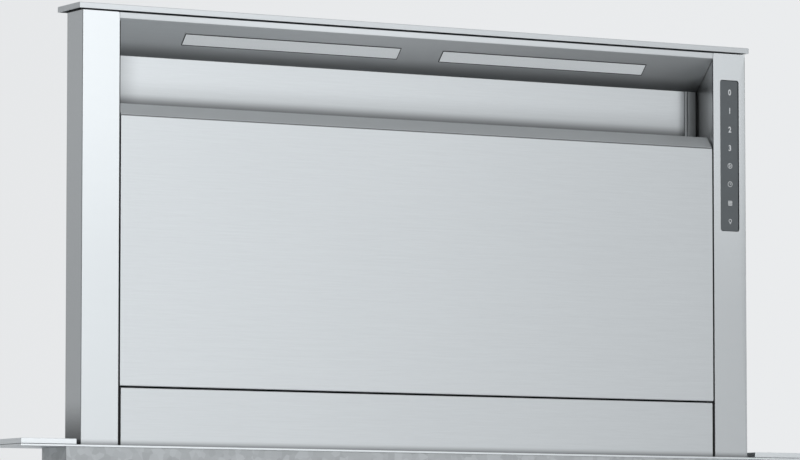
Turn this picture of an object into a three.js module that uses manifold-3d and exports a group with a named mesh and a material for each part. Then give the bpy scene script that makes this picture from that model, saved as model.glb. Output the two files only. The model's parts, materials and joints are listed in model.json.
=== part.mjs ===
// A retractable downdraft vent: a slim stainless tower that rises out of a slot in the worktop,
// with its housing, lift, blower and legs below the worktop.
// Millimetres, +Z up. Z = 0 is the worktop's surface. While the pieces are drawn, Y = 0 is the
// tower's front face, with +Y towards the back, and X = 0 is the middle. The whole vent is then
// moved so that the origin lies on the underside of the trim's rear strip. The tower is drawn raised.

import * as THREE from 'three';
import { mergeVertices } from 'three/addons/utils/BufferGeometryUtils.js';
import Module from 'manifold-3d';

const wasm = await Module();
wasm.setup();

// ---------------------------------------------------------------- driving dimensions

const GAP = 0.3;                    // clearance between pieces that sit against each other
const SHEET = 1.2;                  // stainless and galvanised sheet
const PAST = 1;                     // how far a cut runs past a wall, or joined shapes into each other

// tower, above the worktop
const RISE = 381;                   // cap's top above the worktop when raised
const TOWER_WIDTH = 682;
const TOWER_SUNK = 60;              // how far the raised tower still reaches below the worktop
const CAP_THICKNESS = 5;
const CAP_WALL = 1.5;
const CAP_SIDE_OVERHANG = 3.7;
const CAP_FRONT_OVERHANG = 1;
const CAP_REAR_OVERHANG = 3.3;
const CAP_SHADOW_GAP = 1.5;
const CAP_RAIL_SETBACK = 6;
const CAP_RAIL_END_INSET = 3;
const COLUMN_WIDTH = 35.4;
const RECESS_DEPTH = 28;            // front face to the intake's back wall
const REAR_WALL_ROOM = 0.8;         // back wall to the columns' rear face
const REAR_COVER_DEPTH = 8.5;
const REAR_COVER_INSET = 12;

// light hood: a lip under the cap and a ceiling that slopes down to the back wall
const LIP_HEIGHT = 5.3;
const CEILING_DROP = 29.1;
const HOOD_TOP_FLANGE = 12;
const HOOD_REAR_FLANGE = 6;
const LENS_LENGTH = 215;
const LENS_WIDTH = 11.7;
const LENS_INNER_END = 22;          // from the middle of the tower
const LENS_BELOW_LIP = 12.3;        // measured down the slope
const LENS_THICKNESS = 2.5;
const LENS_PROUD = 0.2;
const LED_BOARD_DEPTH = 4.4;        // board's face behind the ceiling's face
const LED_BOARD_THICKNESS = 1.6;
const LED_BOARD_INSET = 1;
const LED_COUNT = 10;
const LED_SIZE = 3;
const LED_HEIGHT = 1.2;

// front panel and the fixed panel below it
const INTAKE_HEIGHT = 43.5;         // panel's top edge to the ceiling, at the back wall
const BEVEL_DEPTH = 8.5;
const BEVEL_RISE = 10.5;
const PANEL_HEM = 16.6;             // return behind the bevel
const PANEL_SIDE_GAP = 1.5;
const PANEL_SEAM = 1.4;
const LOWER_PANEL_TOP = 51.3;
const BACKING_THICKNESS = 1.1;
const PIVOT_BACK = 3.5;             // panel's hinge axis behind its face
const PIVOT_UP = 5.5;               // and above its lower edge
const PIN_RADIUS = 2;
const PIN_REACH = 3.1;
const PIN_TAIL = 2.5;

// grease filters
const FILTER_FRONT = 13.5;
const FILTER_THICKNESS = 5.4;
const FILTER_SIDE_ROOM = 14;
const FILTER_MIDDLE_ROOM = 2;
const FILTER_BELOW_BEVEL = 3;
const FILTER_FRAME = 9;
const FILTER_PAD = 3;
const TRAY_FRONT = 12;
const TRAY_DEPTH = 8.2;
const TRAY_HEIGHT = 9.4;
const FILTER_CHANNEL_HEIGHT = 6.5;

// touch control
const GLASS_WIDTH = 20;
const GLASS_HEIGHT = 139.6;
const GLASS_BELOW_COLUMN_TOP = 24.7;
const GLASS_CORNER = 2;
const GLASS_THICKNESS = 3;
const GLASS_PROUD = 0.3;
const CONTROL_BOARD_INSET = 4;
const CONTROL_BOARD_SIDE_INSET = 1;
const CONTROL_BOARD_THICKNESS = 1.6;
const CONTROL_CHIP_DEPTH = 3;
const CONTROL_CHIP_HEIGHT = 12;

// trim on the worktop
const TRIM_REACH = 58;              // past the tower at each end
const TRIM_FRONT = 4.5;             // in front of the tower
const TRIM_REAR_STRIP = 16.3;       // behind the housing
const TRIM_FLANGE = 1.6;
const TRIM_HEIGHT = 6.6;
const TRIM_END_GAP = 5.6;           // tower to the end blocks
const TRIM_REAR_BAR_GAP = 1.4;      // cap to the rear bar
const SLOT_FRONT_ROOM = 0.8;
const SLOT_SIDE_ROOM = 2.5;
const SLOT_REAR_ROOM = 2;
const CAP_SEAT_GAP = 0.4;           // lowered cap above the flange

// housing below the worktop
const HOUSING_SIDE_ROOM = 14;
const HOUSING_FRONT_ROOM = 2.5;
const HOUSING_REAR_ROOM = 4.2;
const DRIVE_ROOM = 59;              // lowered tower to the drive plate
const DRIVE_PLATE_THICKNESS = 2;
const PLENUM_HEIGHT = 145;          // drive plate to the housing's floor
const BASE_HEIGHT = 9.7;
const BASE_RIM = 6;
const BASE_END_RIM = 10;
const BASE_SCREW_ROOM = 1.4;

// lift
const SCREW_RADIUS = 5;
const SCREW_FROM_COLUMN_REAR = 10;
const SCREW_TOP_BELOW_WORKTOP = 20;
const SCREW_BELOW_PULLEY = 3;
const NUT_WIDTH = 24;
const NUT_DEPTH = 16;
const NUT_HEIGHT = 14;
const RUNNING_ROOM = 0.4;
const BEARING_WIDTH = 28;
const BEARING_DEPTH = 22;
const BEARING_HEIGHT = 12;
const BEARING_FLANGE = 3;
const BEARING_BOSS_RADIUS = 10;
const PULLEY_RADIUS = 14;
const PULLEY_HEIGHT = 10;
const PULLEY_BELOW_PLATE = 8;
const BELT_THICKNESS = 1.6;
const BELT_WIDTH = 8;
const COUPLING_RADIUS = 8;
const COUPLING_HEIGHT = 15;
const COUPLING_ABOVE_BRACKET = 2;
const MOTOR_SHAFT_RADIUS = 3;
const MOTOR_SHAFT_LENGTH = 5;
const MOTOR_RADIUS = 17;
const MOTOR_LENGTH = 64;
const GEARBOX_LENGTH = 24;
const GEARBOX_STEP = 1.5;
const MOTOR_END_CAP = 3;
const MOTOR_BRACKET_THICKNESS = 2;
const MOTOR_BRACKET_DROP = 20;
const MOTOR_BRACKET_WIDTH = 54;
const MOTOR_BRACKET_UPSTAND = 10;
const MOTOR_SHAFT_ROOM = 1;
const RAIL_WIDTH = 18;
const RAIL_WEB = 4;
const RAIL_WEB_REACH = 7.5;
const RAIL_TOP_BELOW_WORKTOP = 8;
const RAIL_BELOW_LOWERED = 21;
const SHOE_HEIGHT = 25;
const SHOE_WALL_ROOM = 3;
const SWITCH_DEPTH = 7;
const SWITCH_HEIGHT = 20;
const SWITCH_BODY = 6.7;
const SWITCH_LEVER = 1.5;
const SWITCH_LEVER_INSET = 2;
const SWITCH_FRONT = 1;
const SWITCH_FLAG_REACH = 4;
const SWITCH_FLAG_INSET = 1;

// blower, in front of the housing
const BLOWER_BOX_WIDTH = 370;
const BLOWER_BOX_DEPTH = 210;
const BLOWER_BOX_HEIGHT = 330;
const WINDOW_WIDTH = 220;           // housing to blower box
const WINDOW_HEIGHT = 210;
const SCROLL_CENTRE_X = -25;
const SCROLL_CENTRE_UP = 150;       // above the box's floor
const SCROLL_SMALL_RADIUS = 93;
const SCROLL_LARGE_RADIUS = 150;
const SCROLL_WALL = 1.5;
const SCROLL_BACK_ROOM = 16;        // box's back to the scroll
const SCROLL_DEPTH = 150;
const SCROLL_STEPS = 30;
const SCROLL_TURN = Math.PI * 1.5;
const INLET_RADIUS = 72;
const MOTOR_HOLE_RADIUS = 30;
const WHEEL_RADIUS = 85;
const WHEEL_DEPTH = 110;
const WHEEL_INLET_ROOM = 20;
const WHEEL_PLATE = 1.5;
const BLADE_COUNT = 30;
const BLADE_CHORD = 15;
const BLADE_THICKNESS = 1.2;
const BLADE_TILT = Math.PI / 7;
const HUB_RADIUS = 12;
const HUB_LENGTH = 24;
const FAN_SHAFT_RADIUS = 4;
const FAN_SHAFT_IN_MOTOR = 6;
const FAN_MOTOR_RADIUS = 46;
const FAN_MOTOR_LENGTH = 34;
const FAN_MOTOR_CAP_RADIUS = 30;
const FAN_MOTOR_CAP_LENGTH = 5;
const COLLAR_RADIUS = 74.5;
const COLLAR_LENGTH = 80;
const COLLAR_FLANGE = 11;
const DAMPER_FROM_FLANGE = 10;
const DAMPER_ROOM = 1.6;
const DAMPER_PIN_RADIUS = 2;
const DAMPER_THICKNESS = 1.2;

// electronics, on the housing's front
const ELECTRONICS_WIDTH = 140;
const ELECTRONICS_HEIGHT = 170;
const ELECTRONICS_DEPTH = 42;
const ELECTRONICS_FROM_END = 11.2;  // inside the housing's left end
const ELECTRONICS_TOP = 130;        // below the worktop
const BOARD_STANDOFF = 8;
const BOARD_THICKNESS = 1.6;
const BOARD_INSET = 8;
const BOARD_POST_RADIUS = 2.7;
const BOARD_PART_INSET = 12;
const TRANSFORMER_WIDTH = 42;
const TRANSFORMER_HEIGHT = 36;
const TRANSFORMER_DEPTH = 24;
const CAPACITOR_RADIUS = 12;
const CAPACITOR_LENGTH = 22;
const CAPACITOR_FROM_END = 28;
const CAPACITOR_UP = 34;
const TERMINALS_INSET = 20;
const TERMINALS_DOWN = 16;
const TERMINALS_HEIGHT = 14;
const TERMINALS_DEPTH = 12;
const GLAND_RADIUS = 9;
const GLAND_NECK_RADIUS = 7;
const GLAND_BORE = 4.5;
const GLAND_LENGTH = 16;

// clamps and legs
const WORKTOP_THICKNESS = 38;
const CLAMP_SHEET = 2;
const CLAMP_WIDTH = 30;
const CLAMP_REACH = 36;
const CLAMP_DROP = 50;
const LEG_SHEET = 2.5;
const LEG_DROP = 140;               // housing's floor to the cabinet's floor
const LEG_TRAVEL = 60;
const LEG_ABOVE_FLOOR = 210;        // leg's top above the housing's floor
const LEG_WIDTH = 40;
const LEG_FOOT_REACH = 190;         // in front of the tower
const LEG_FOOT_WIDTH = 37.5;
const LEG_TOE = 15;
const LEG_GUSSET = 40;              // gusset's top above the housing's floor
const PAD_RADIUS = 14;
const PAD_HEIGHT = 6;
const BOLT_RADIUS = 3;
const LEG_BOLTS_UP = [30, 130];     // above the housing's floor

// ---------------------------------------------------------------- places worked out from them

const half = TOWER_WIDTH / 2;
const inner = half - COLUMN_WIDTH;
const capTop = RISE;
const capBottom = RISE - CAP_THICKNESS;
const columnTop = capBottom - CAP_SHADOW_GAP;
const columnDepth = RECESS_DEPTH + SHEET + REAR_WALL_ROOM;
const rearY = columnDepth + GAP + REAR_COVER_DEPTH;
const lipBottom = columnTop - LIP_HEIGHT;
const ceilingBack = lipBottom - CEILING_DROP;
const bevelTop = ceilingBack - INTAKE_HEIGHT;
const panelTop = bevelTop - BEVEL_RISE;
const panelBottom = LOWER_PANEL_TOP + PANEL_SEAM;
const panelHalf = inner - PANEL_SIDE_GAP;
const towerBottom = -TOWER_SUNK;
const baseTop = towerBottom + BASE_HEIGHT;
const travel = capBottom - TRIM_FLANGE - CAP_SEAT_GAP;
const loweredBottom = towerBottom - travel;

const trayBack = TRAY_FRONT + TRAY_DEPTH;
const trayBottom = LOWER_PANEL_TOP + GAP;
const channelBottom = trayBottom + TRAY_HEIGHT + GAP;
const filterBottom = channelBottom + SHEET + GAP;
const filterTop = panelTop - FILTER_BELOW_BEVEL;
const filterY = [FILTER_FRONT, FILTER_FRONT + FILTER_THICKNESS];
const filterEnd = inner - FILTER_SIDE_ROOM;

const screwX = half - COLUMN_WIDTH / 2;
const screwY = columnDepth - SCREW_FROM_COLUMN_REAR;
const wallX = half + HOUSING_SIDE_ROOM;
const wallFront = -HOUSING_FRONT_ROOM;
const wallBack = rearY + HOUSING_REAR_ROOM;
const wallOuterX = wallX + SHEET;
const wallOuterFront = wallFront - SHEET;
const wallOuterBack = wallBack + SHEET;
const plateTop = loweredBottom - DRIVE_ROOM;
const plateBottom = plateTop - DRIVE_PLATE_THICKNESS;
const housingBottom = plateBottom - PLENUM_HEIGHT;
const housingTop = 0;               // in a shallow seat under the trim
const trimBack = wallOuterBack + TRIM_REAR_STRIP;
const restY = (wallOuterBack + trimBack) / 2;
const floorZ = housingBottom - LEG_DROP;

// ---------------------------------------------------------------- making and cutting solids

const AXES = {
  X: new THREE.Matrix4().makeBasis(
    new THREE.Vector3(0, 1, 0), new THREE.Vector3(0, 0, 1), new THREE.Vector3(1, 0, 0)),
  Y: new THREE.Matrix4().makeBasis(
    new THREE.Vector3(1, 0, 0), new THREE.Vector3(0, 0, 1), new THREE.Vector3(0, -1, 0)),
  Z: new THREE.Matrix4(),
};

// a closed geometry as a solid that can be joined and cut
function solidOf(geometry) {
  const bare = geometry.clone();
  bare.deleteAttribute('normal');
  bare.deleteAttribute('uv');
  const merged = mergeVertices(bare, 1e-4);
  const corners = merged.index.array;
  const triangles = [];
  for (let i = 0; i < corners.length; i += 3) {
    const [a, b, c] = corners.slice(i, i + 3);
    if (a !== b && b !== c && c !== a) triangles.push(a, b, c);
  }
  return new wasm.Manifold(new wasm.Mesh({
    numProp: 3,
    vertProperties: new Float32Array(merged.attributes.position.array),
    triVerts: new Uint32Array(triangles),
  }));
}

function geometryOf(solid) {
  const mesh = solid.getMesh();
  const geometry = new THREE.BufferGeometry();
  geometry.setAttribute('position', new THREE.Float32BufferAttribute(mesh.vertProperties, 3));
  geometry.setIndex(Array.from(mesh.triVerts));
  geometry.computeVertexNormals();
  return geometry;
}

const join = (...solids) => solids.reduce((all, one) => all.add(one));
const cut = (solid, ...tools) => tools.reduce((left, tool) => left.subtract(tool), solid);

// a box given by its low and high corner along each axis
function block([x0, x1], [y0, y1], [z0, z1]) {
  const box = new THREE.BoxGeometry(x1 - x0, y1 - y0, z1 - z0);
  box.translate((x0 + x1) / 2, (y0 + y1) / 2, (z0 + z1) / 2);
  return solidOf(box);
}

const polygon = (points) => new THREE.Shape(points.map(([u, v]) => new THREE.Vector2(u, v)));

function circle(u, v, radius) {
  return new THREE.Shape().absarc(u, v, radius, 0, Math.PI * 2);
}

function roundedRectangle([u0, u1], [v0, v1], radius) {
  const shape = new THREE.Shape();
  shape.moveTo(u0 + radius, v0);
  shape.absarc(u1 - radius, v0 + radius, radius, -Math.PI / 2, 0);
  shape.absarc(u1 - radius, v1 - radius, radius, 0, Math.PI / 2);
  shape.absarc(u0 + radius, v1 - radius, radius, Math.PI / 2, Math.PI);
  shape.absarc(u0 + radius, v0 + radius, radius, Math.PI, Math.PI * 1.5);
  return shape;
}

// an outline drawn square to an axis, in the order X, Y, Z of the other two, and pulled along it
function prism(axis, outline, [from, to], curveSegments = 5) {
  const body = new THREE.ExtrudeGeometry(outline, {
    depth: to - from, bevelEnabled: false, curveSegments,
  });
  body.applyMatrix4(AXES[axis]);
  const start = { X: [from, 0, 0], Y: [0, to, 0], Z: [0, 0, from] }[axis];
  body.translate(...start);
  return solidOf(body);
}

// a round bar; a full circle gets two sides for each curve segment
const rod = (axis, [u, v], radius, reach, sides = 20) => prism(axis, circle(u, v, radius), reach, sides / 2);

// a range on the right side, or its mirror on the left
const span = (side, near, far) => (side > 0 ? [near, far] : [-far, -near]);
const SIDES = [['left', -1], ['right', 1]];

// ---------------------------------------------------------------- finishes and the scene graph

const FINISHES = {
  brushed_steel: { color: 0xc9cdd0, roughness: 0.35, metalness: 1 },
  galvanised: { color: 0xa9adb0, roughness: 0.5, metalness: 1 },
  aluminium: { color: 0xb9bcbf, roughness: 0.45, metalness: 1 },
  machined_steel: { color: 0x8f9396, roughness: 0.3, metalness: 1 },
  dark_glass: { color: 0x565c62, roughness: 0.12, metalness: 0 },
  lamp_lens: { color: 0xdfe3e4, roughness: 0.4, metalness: 0 },
  black_plastic: { color: 0x1d1e20, roughness: 0.55, metalness: 0 },
  white_plastic: { color: 0xe4e4df, roughness: 0.5, metalness: 0 },
  circuit_green: { color: 0x1f5a3a, roughness: 0.5, metalness: 0 },
  rubber: { color: 0x17171a, roughness: 0.8, metalness: 0 },
};

const vent = new THREE.Group();
vent.position.y = -restY;

function add(group, name, solid, finish) {
  const mesh = new THREE.Mesh(geometryOf(solid), new THREE.MeshStandardMaterial(FINISHES[finish]));
  mesh.name = name;
  group.add(mesh);
}

// ---------------------------------------------------------------- tower: cap and columns

const tower = new THREE.Group();
vent.add(tower);

function topCap() {
  const x = half + CAP_SIDE_OVERHANG;
  const front = -CAP_FRONT_OVERHANG;
  const back = rearY + CAP_REAR_OVERHANG;
  const shell = block([-x, x], [front, back], [capBottom, capTop]);
  const hollow = block(
    [-x + CAP_WALL, x - CAP_WALL],
    [front + CAP_WALL, back - CAP_WALL],
    [capBottom - PAST, capTop - CAP_WALL],
  );
  return cut(shell, hollow);
}

// joins the columns' tops and carries the cap, set back so that the gap below the cap stays dark
function capRail() {
  const x = half - CAP_RAIL_END_INSET;
  return block(
    [-x, x],
    [CAP_RAIL_SETBACK, rearY - CAP_RAIL_END_INSET],
    [columnTop + GAP, capTop - CAP_WALL - GAP],
  );
}

const pivotY = PIVOT_BACK;
const pivotZ = panelBottom + PIVOT_UP;
const glassX = [screwX - GLASS_WIDTH / 2, screwX + GLASS_WIDTH / 2];
const glassTop = columnTop - GLASS_BELOW_COLUMN_TOP;
const glassZ = [glassTop - GLASS_HEIGHT, glassTop];
const widened = ([low, high], by) => [low - by, high + by];

function column(side) {
  const height = [baseTop + GAP, columnTop];
  const tube = cut(
    block(span(side, inner, half), [0, columnDepth], height),
    block(span(side, inner + SHEET, half - SHEET), [SHEET, columnDepth - SHEET], widened(height, PAST)),
    rod('X', [pivotY, pivotZ], PIN_RADIUS + GAP, span(side, inner - PAST, inner + SHEET + PAST)),
  );
  if (side < 0) return tube;
  const window = roundedRectangle(widened(glassX, GAP), widened(glassZ, GAP), GLASS_CORNER + GAP);
  return cut(tube, prism('Y', window, [-PAST, SHEET + PAST]));
}

function rearCover() {
  const x = half - REAR_COVER_INSET;
  const front = columnDepth + GAP;
  const height = [baseTop + GAP, columnTop];
  return cut(
    block([-x, x], [front, rearY], height),
    block([-x + SHEET, x - SHEET], [front - PAST, rearY - SHEET], widened(height, -SHEET)),
  );
}

// the intake's back wall, with a ledge over the filters that keeps air from passing behind them
function rearWall() {
  const wall = block(
    [-inner + GAP, inner - GAP],
    [RECESS_DEPTH, RECESS_DEPTH + SHEET],
    [baseTop + GAP, ceilingBack + HOOD_REAR_FLANGE],
  );
  const ledge = block(
    [-filterEnd, filterEnd],
    [FILTER_FRONT, RECESS_DEPTH + SHEET / 2],
    [filterTop + GAP, filterTop + GAP + SHEET],
  );
  return join(wall, ledge);
}

add(tower, 'top_cap', topCap(), 'brushed_steel');
add(tower, 'cap_rail', capRail(), 'aluminium');
for (const [name, side] of SIDES) {
  add(tower, `column_${name}`, column(side), 'brushed_steel');
}
add(tower, 'rear_cover', rearCover(), 'brushed_steel');
add(tower, 'rear_wall', rearWall(), 'brushed_steel');

// ---------------------------------------------------------------- tower: light hood

const hoodReach = RECESS_DEPTH - GAP;
const slopeLength = Math.hypot(RECESS_DEPTH, CEILING_DROP);
const slopeY = RECESS_DEPTH / slopeLength;
const slopeZ = -CEILING_DROP / slopeLength;

// a point in the Y-Z plane, along the ceiling from the lip and proud of its face
const onCeiling = (along, proud) => [
  along * slopeY + proud * slopeZ,
  lipBottom + along * slopeZ - proud * slopeY,
];
const ceilingStrip = ([near, far], [low, high]) => polygon([
  onCeiling(near, low), onCeiling(far, low), onCeiling(far, high), onCeiling(near, high),
]);

function lightHood() {
  const backZ = lipBottom + hoodReach * slopeZ / slopeY;
  const innerRise = SHEET / slopeY;
  const atY = (y) => lipBottom + y * slopeZ / slopeY + innerRise;
  const sheet = prism('X', polygon([
    [0, columnTop], [0, lipBottom], [hoodReach, backZ],
    [hoodReach, ceilingBack + HOOD_REAR_FLANGE],
    [hoodReach - SHEET, ceilingBack + HOOD_REAR_FLANGE],
    [hoodReach - SHEET, atY(hoodReach - SHEET)],
    [SHEET, atY(SHEET)],
    [SHEET, columnTop - SHEET], [HOOD_TOP_FLANGE, columnTop - SHEET], [HOOD_TOP_FLANGE, columnTop],
  ]), [-inner + GAP, inner - GAP]);
  const window = ceilingStrip(
    widened([LENS_BELOW_LIP, LENS_BELOW_LIP + LENS_WIDTH], GAP), [-SHEET - PAST, PAST]);
  const ends = [LENS_INNER_END - GAP, LENS_INNER_END + LENS_LENGTH + GAP];
  return cut(sheet, prism('X', window, span(-1, ...ends)), prism('X', window, span(1, ...ends)));
}

function lightLens(side) {
  const strip = ceilingStrip(
    [LENS_BELOW_LIP, LENS_BELOW_LIP + LENS_WIDTH], [LENS_PROUD - LENS_THICKNESS, LENS_PROUD]);
  return prism('X', strip, span(side, LENS_INNER_END, LENS_INNER_END + LENS_LENGTH));
}

function ledStrip(side) {
  const along = widened([LENS_BELOW_LIP, LENS_BELOW_LIP + LENS_WIDTH], -LED_BOARD_INSET);
  const board = ceilingStrip(along, [-LED_BOARD_DEPTH - LED_BOARD_THICKNESS, -LED_BOARD_DEPTH]);
  const first = LENS_INNER_END + LED_BOARD_INSET;
  const length = LENS_LENGTH - 2 * LED_BOARD_INSET;
  const middle = LENS_BELOW_LIP + LENS_WIDTH / 2;
  const chip = ceilingStrip(
    [middle - LED_SIZE / 2, middle + LED_SIZE / 2], [-LED_BOARD_DEPTH - GAP, -LED_BOARD_DEPTH + LED_HEIGHT]);
  const pitch = length / LED_COUNT;
  let strip = prism('X', board, span(side, first, first + length));
  for (let i = 0; i < LED_COUNT; i += 1) {
    const x = first + pitch * (i + 0.5);
    strip = strip.add(prism('X', chip, span(side, x - LED_SIZE / 2, x + LED_SIZE / 2)));
  }
  return strip;
}

add(tower, 'light_hood', lightHood(), 'brushed_steel');
for (const [name, side] of SIDES) {
  add(tower, `light_lens_${name}`, lightLens(side), 'lamp_lens');
  add(tower, `led_strip_${name}`, ledStrip(side), 'white_plastic');
}

// ---------------------------------------------------------------- tower: lower panel and filters

function lowerPanel() {
  const bottom = baseTop + GAP;
  return prism('X', polygon([
    [0, bottom], [0, LOWER_PANEL_TOP], [trayBack, LOWER_PANEL_TOP],
    [trayBack, LOWER_PANEL_TOP - SHEET], [SHEET, LOWER_PANEL_TOP - SHEET], [SHEET, bottom],
  ]), [-panelHalf, panelHalf]);
}

// a trough with its open side up
function trough(height) {
  return cut(
    block([-filterEnd, filterEnd], [TRAY_FRONT, trayBack], height),
    block(widened([-filterEnd, filterEnd], -SHEET), [TRAY_FRONT + SHEET, trayBack - SHEET],
      [height[0] + SHEET, height[1] + PAST]),
  );
}

function filterChannel() {
  const height = [channelBottom, channelBottom + FILTER_CHANNEL_HEIGHT];
  return cut(
    block([-filterEnd, filterEnd], [TRAY_FRONT, trayBack], height),
    block(widened([-filterEnd, filterEnd], PAST), [TRAY_FRONT + SHEET, trayBack - SHEET],
      [height[0] + SHEET, height[1] + PAST]),
  );
}

// an aluminium frame around a thinner pad of woven mesh
function filter(side) {
  const x = span(side, FILTER_MIDDLE_ROOM, filterEnd);
  const z = [filterBottom, filterTop];
  const padY = widened(filterY, -(FILTER_THICKNESS - FILTER_PAD) / 2);
  const insideX = widened(x, -FILTER_FRAME);
  const insideZ = widened(z, -FILTER_FRAME);
  return join(
    cut(block(x, filterY, z), block(insideX, widened(filterY, PAST), insideZ)),
    block(widened(insideX, PAST), padY, widened(insideZ, PAST)),
  );
}

add(tower, 'lower_panel', lowerPanel(), 'brushed_steel');
add(tower, 'drip_tray', trough([trayBottom, trayBottom + TRAY_HEIGHT]), 'aluminium');
add(tower, 'filter_channel', filterChannel(), 'aluminium');
for (const [name, side] of SIDES) {
  add(tower, `grease_filter_${name}`, filter(side), 'aluminium');
}

// ---------------------------------------------------------------- tower: touch control

function controlGlass() {
  const outline = roundedRectangle(glassX, glassZ, GLASS_CORNER);
  return prism('Y', outline, [-GLASS_PROUD, GLASS_THICKNESS - GLASS_PROUD]);
}

function controlBoard() {
  const front = GLASS_THICKNESS - GLASS_PROUD + GAP;
  const back = front + CONTROL_BOARD_THICKNESS;
  const x = widened(glassX, -CONTROL_BOARD_SIDE_INSET);
  const z = widened(glassZ, -CONTROL_BOARD_INSET);
  const chipBottom = z[0] + CONTROL_BOARD_INSET;
  const chip = block(widened(x, -CONTROL_BOARD_INSET), [back - GAP, back + CONTROL_CHIP_DEPTH],
    [chipBottom, chipBottom + CONTROL_CHIP_HEIGHT]);
  return join(block(x, [front, back], z), chip);
}

add(tower, 'control_glass', controlGlass(), 'dark_glass');
add(tower, 'control_board', controlBoard(), 'circuit_green');

// ---------------------------------------------------------------- tower: base, nuts, shoes, pins

function baseFrame() {
  const z = [towerBottom, baseTop];
  const flagX = span(-1, half - PAST, half + SWITCH_FLAG_REACH);
  const plate = block([-half, half], [0, rearY], z);
  const flagY = widened([SWITCH_FRONT, SWITCH_FRONT + SWITCH_DEPTH], -SWITCH_FLAG_INSET);
  const flag = block(flagX, flagY, [z[0], z[0] + BASE_HEIGHT / 2]);
  const airway = block(
    widened([-inner, inner], -BASE_END_RIM), [BASE_RIM, rearY - BASE_RIM], widened(z, PAST));
  const holes = [-1, 1].map(
    (side) => rod('Z', [side * screwX, screwY], SCREW_RADIUS + BASE_SCREW_ROOM, widened(z, PAST)));
  return cut(join(plate, flag), airway, ...holes);
}

function liftNut(side) {
  const z = [baseTop + GAP, baseTop + GAP + NUT_HEIGHT];
  const body = block(
    widened([side * screwX, side * screwX], NUT_WIDTH / 2), widened([screwY, screwY], NUT_DEPTH / 2), z);
  return cut(body, rod('Z', [side * screwX, screwY], SCREW_RADIUS + RUNNING_ROOM, widened(z, PAST)));
}

const railY = screwY;
const railInner = wallX - GAP - SHEET - RAIL_WEB_REACH;

function guideShoe(side) {
  const z = [towerBottom, towerBottom + SHOE_HEIGHT];
  return cut(
    block(span(side, half + GAP, wallX - SHOE_WALL_ROOM), widened([railY, railY], RAIL_WIDTH / 2), z),
    block(span(side, railInner - RUNNING_ROOM, wallX),
      widened([railY, railY], RAIL_WEB / 2 + RUNNING_ROOM), widened(z, PAST)),
  );
}

// a dowel through the column's inner wall into the panel's side return
function panelPin(side) {
  const reach = span(side, panelHalf - PIN_REACH, inner + SHEET + PIN_TAIL);
  return rod('X', [pivotY, pivotZ], PIN_RADIUS, reach, 12);
}

add(tower, 'base_frame', baseFrame(), 'aluminium');
for (const [name, side] of SIDES) {
  add(tower, `lift_nut_${name}`, liftNut(side), 'machined_steel');
  add(tower, `guide_shoe_${name}`, guideShoe(side), 'black_plastic');
  add(tower, `panel_pin_${name}`, panelPin(side), 'machined_steel');
}

// ---------------------------------------------------------------- hinged front panel

const panel = new THREE.Group();
tower.add(panel);

// a folded tray: face, bevelled top with a hem behind it, and returns at the sides and bottom
function frontPanel() {
  const bevelSlope = BEVEL_RISE / BEVEL_DEPTH;
  const bevelLength = Math.hypot(BEVEL_DEPTH, BEVEL_RISE);
  const underBevel = (y) => panelTop + y * bevelSlope - SHEET * bevelLength / BEVEL_DEPTH;
  const hemY = BEVEL_DEPTH - SHEET;
  const hemBottom = bevelTop - PANEL_HEM;
  const skin = prism('X', polygon([
    [0, panelBottom], [0, panelTop], [BEVEL_DEPTH, bevelTop], [BEVEL_DEPTH, panelBottom],
  ]), [-panelHalf, panelHalf]);
  const hollow = prism('X', polygon([
    [SHEET, panelBottom + SHEET], [SHEET, underBevel(SHEET)], [hemY, underBevel(hemY)],
    [hemY, hemBottom], [BEVEL_DEPTH + PAST, hemBottom], [BEVEL_DEPTH + PAST, panelBottom + SHEET],
  ]), widened([-panelHalf, panelHalf], -SHEET));
  const hole = rod('X', [pivotY, pivotZ], PIN_RADIUS + GAP, widened([-panelHalf, panelHalf], PAST), 12);
  return cut(skin, hollow, hole);
}

function panelBacking() {
  const back = BEVEL_DEPTH - SHEET - GAP;
  return block(
    widened([-panelHalf, panelHalf], -SHEET - GAP),
    [back - BACKING_THICKNESS, back],
    [panelBottom + SHEET + GAP, bevelTop - PANEL_HEM - GAP],
  );
}

add(panel, 'front_panel', frontPanel(), 'brushed_steel');
add(panel, 'panel_backing', panelBacking(), 'galvanised');

// ---------------------------------------------------------------- trim on the worktop

const housing = new THREE.Group();
vent.add(housing);

const endX = half + TRIM_END_GAP;
const trimX = half + TRIM_REACH;

function trimFrame() {
  const flange = block([-trimX, trimX], [-TRIM_FRONT, trimBack], [0, TRIM_FLANGE]);
  const bar = block(
    widened([-endX, endX], -GAP),
    [rearY + CAP_REAR_OVERHANG + TRIM_REAR_BAR_GAP, trimBack],
    [TRIM_FLANGE / 2, TRIM_HEIGHT],
  );
  const slot = block(
    widened([-half, half], SLOT_SIDE_ROOM),
    [-SLOT_FRONT_ROOM, rearY + SLOT_REAR_ROOM],
    [-PAST, TRIM_FLANGE + PAST],
  );
  const housingSeat = block(
    widened([-wallOuterX, wallOuterX], GAP),
    widened([wallOuterFront, wallOuterBack], GAP),
    [-PAST, GAP],
  );
  return cut(join(flange, bar), slot, housingSeat);
}

function trimEnd(side) {
  return block(span(side, endX, trimX), [-TRIM_FRONT, trimBack], [TRIM_FLANGE + GAP, TRIM_HEIGHT]);
}

add(housing, 'trim_frame', trimFrame(), 'brushed_steel');
for (const [name, side] of SIDES) {
  add(housing, `trim_end_${name}`, trimEnd(side), 'brushed_steel');
}

// ---------------------------------------------------------------- housing

const fanZ = housingBottom + SCROLL_CENTRE_UP;
const windowX = [-WINDOW_WIDTH / 2, WINDOW_WIDTH / 2];
const windowZ = widened([fanZ, fanZ], WINDOW_HEIGHT / 2);
const betweenWallsY = widened([wallFront, wallBack], -GAP);

function housingFront() {
  return cut(
    block([-wallOuterX, wallOuterX], [wallOuterFront, wallFront], [housingBottom, housingTop]),
    block(windowX, [wallOuterFront - PAST, wallFront + PAST], windowZ),
  );
}

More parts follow.
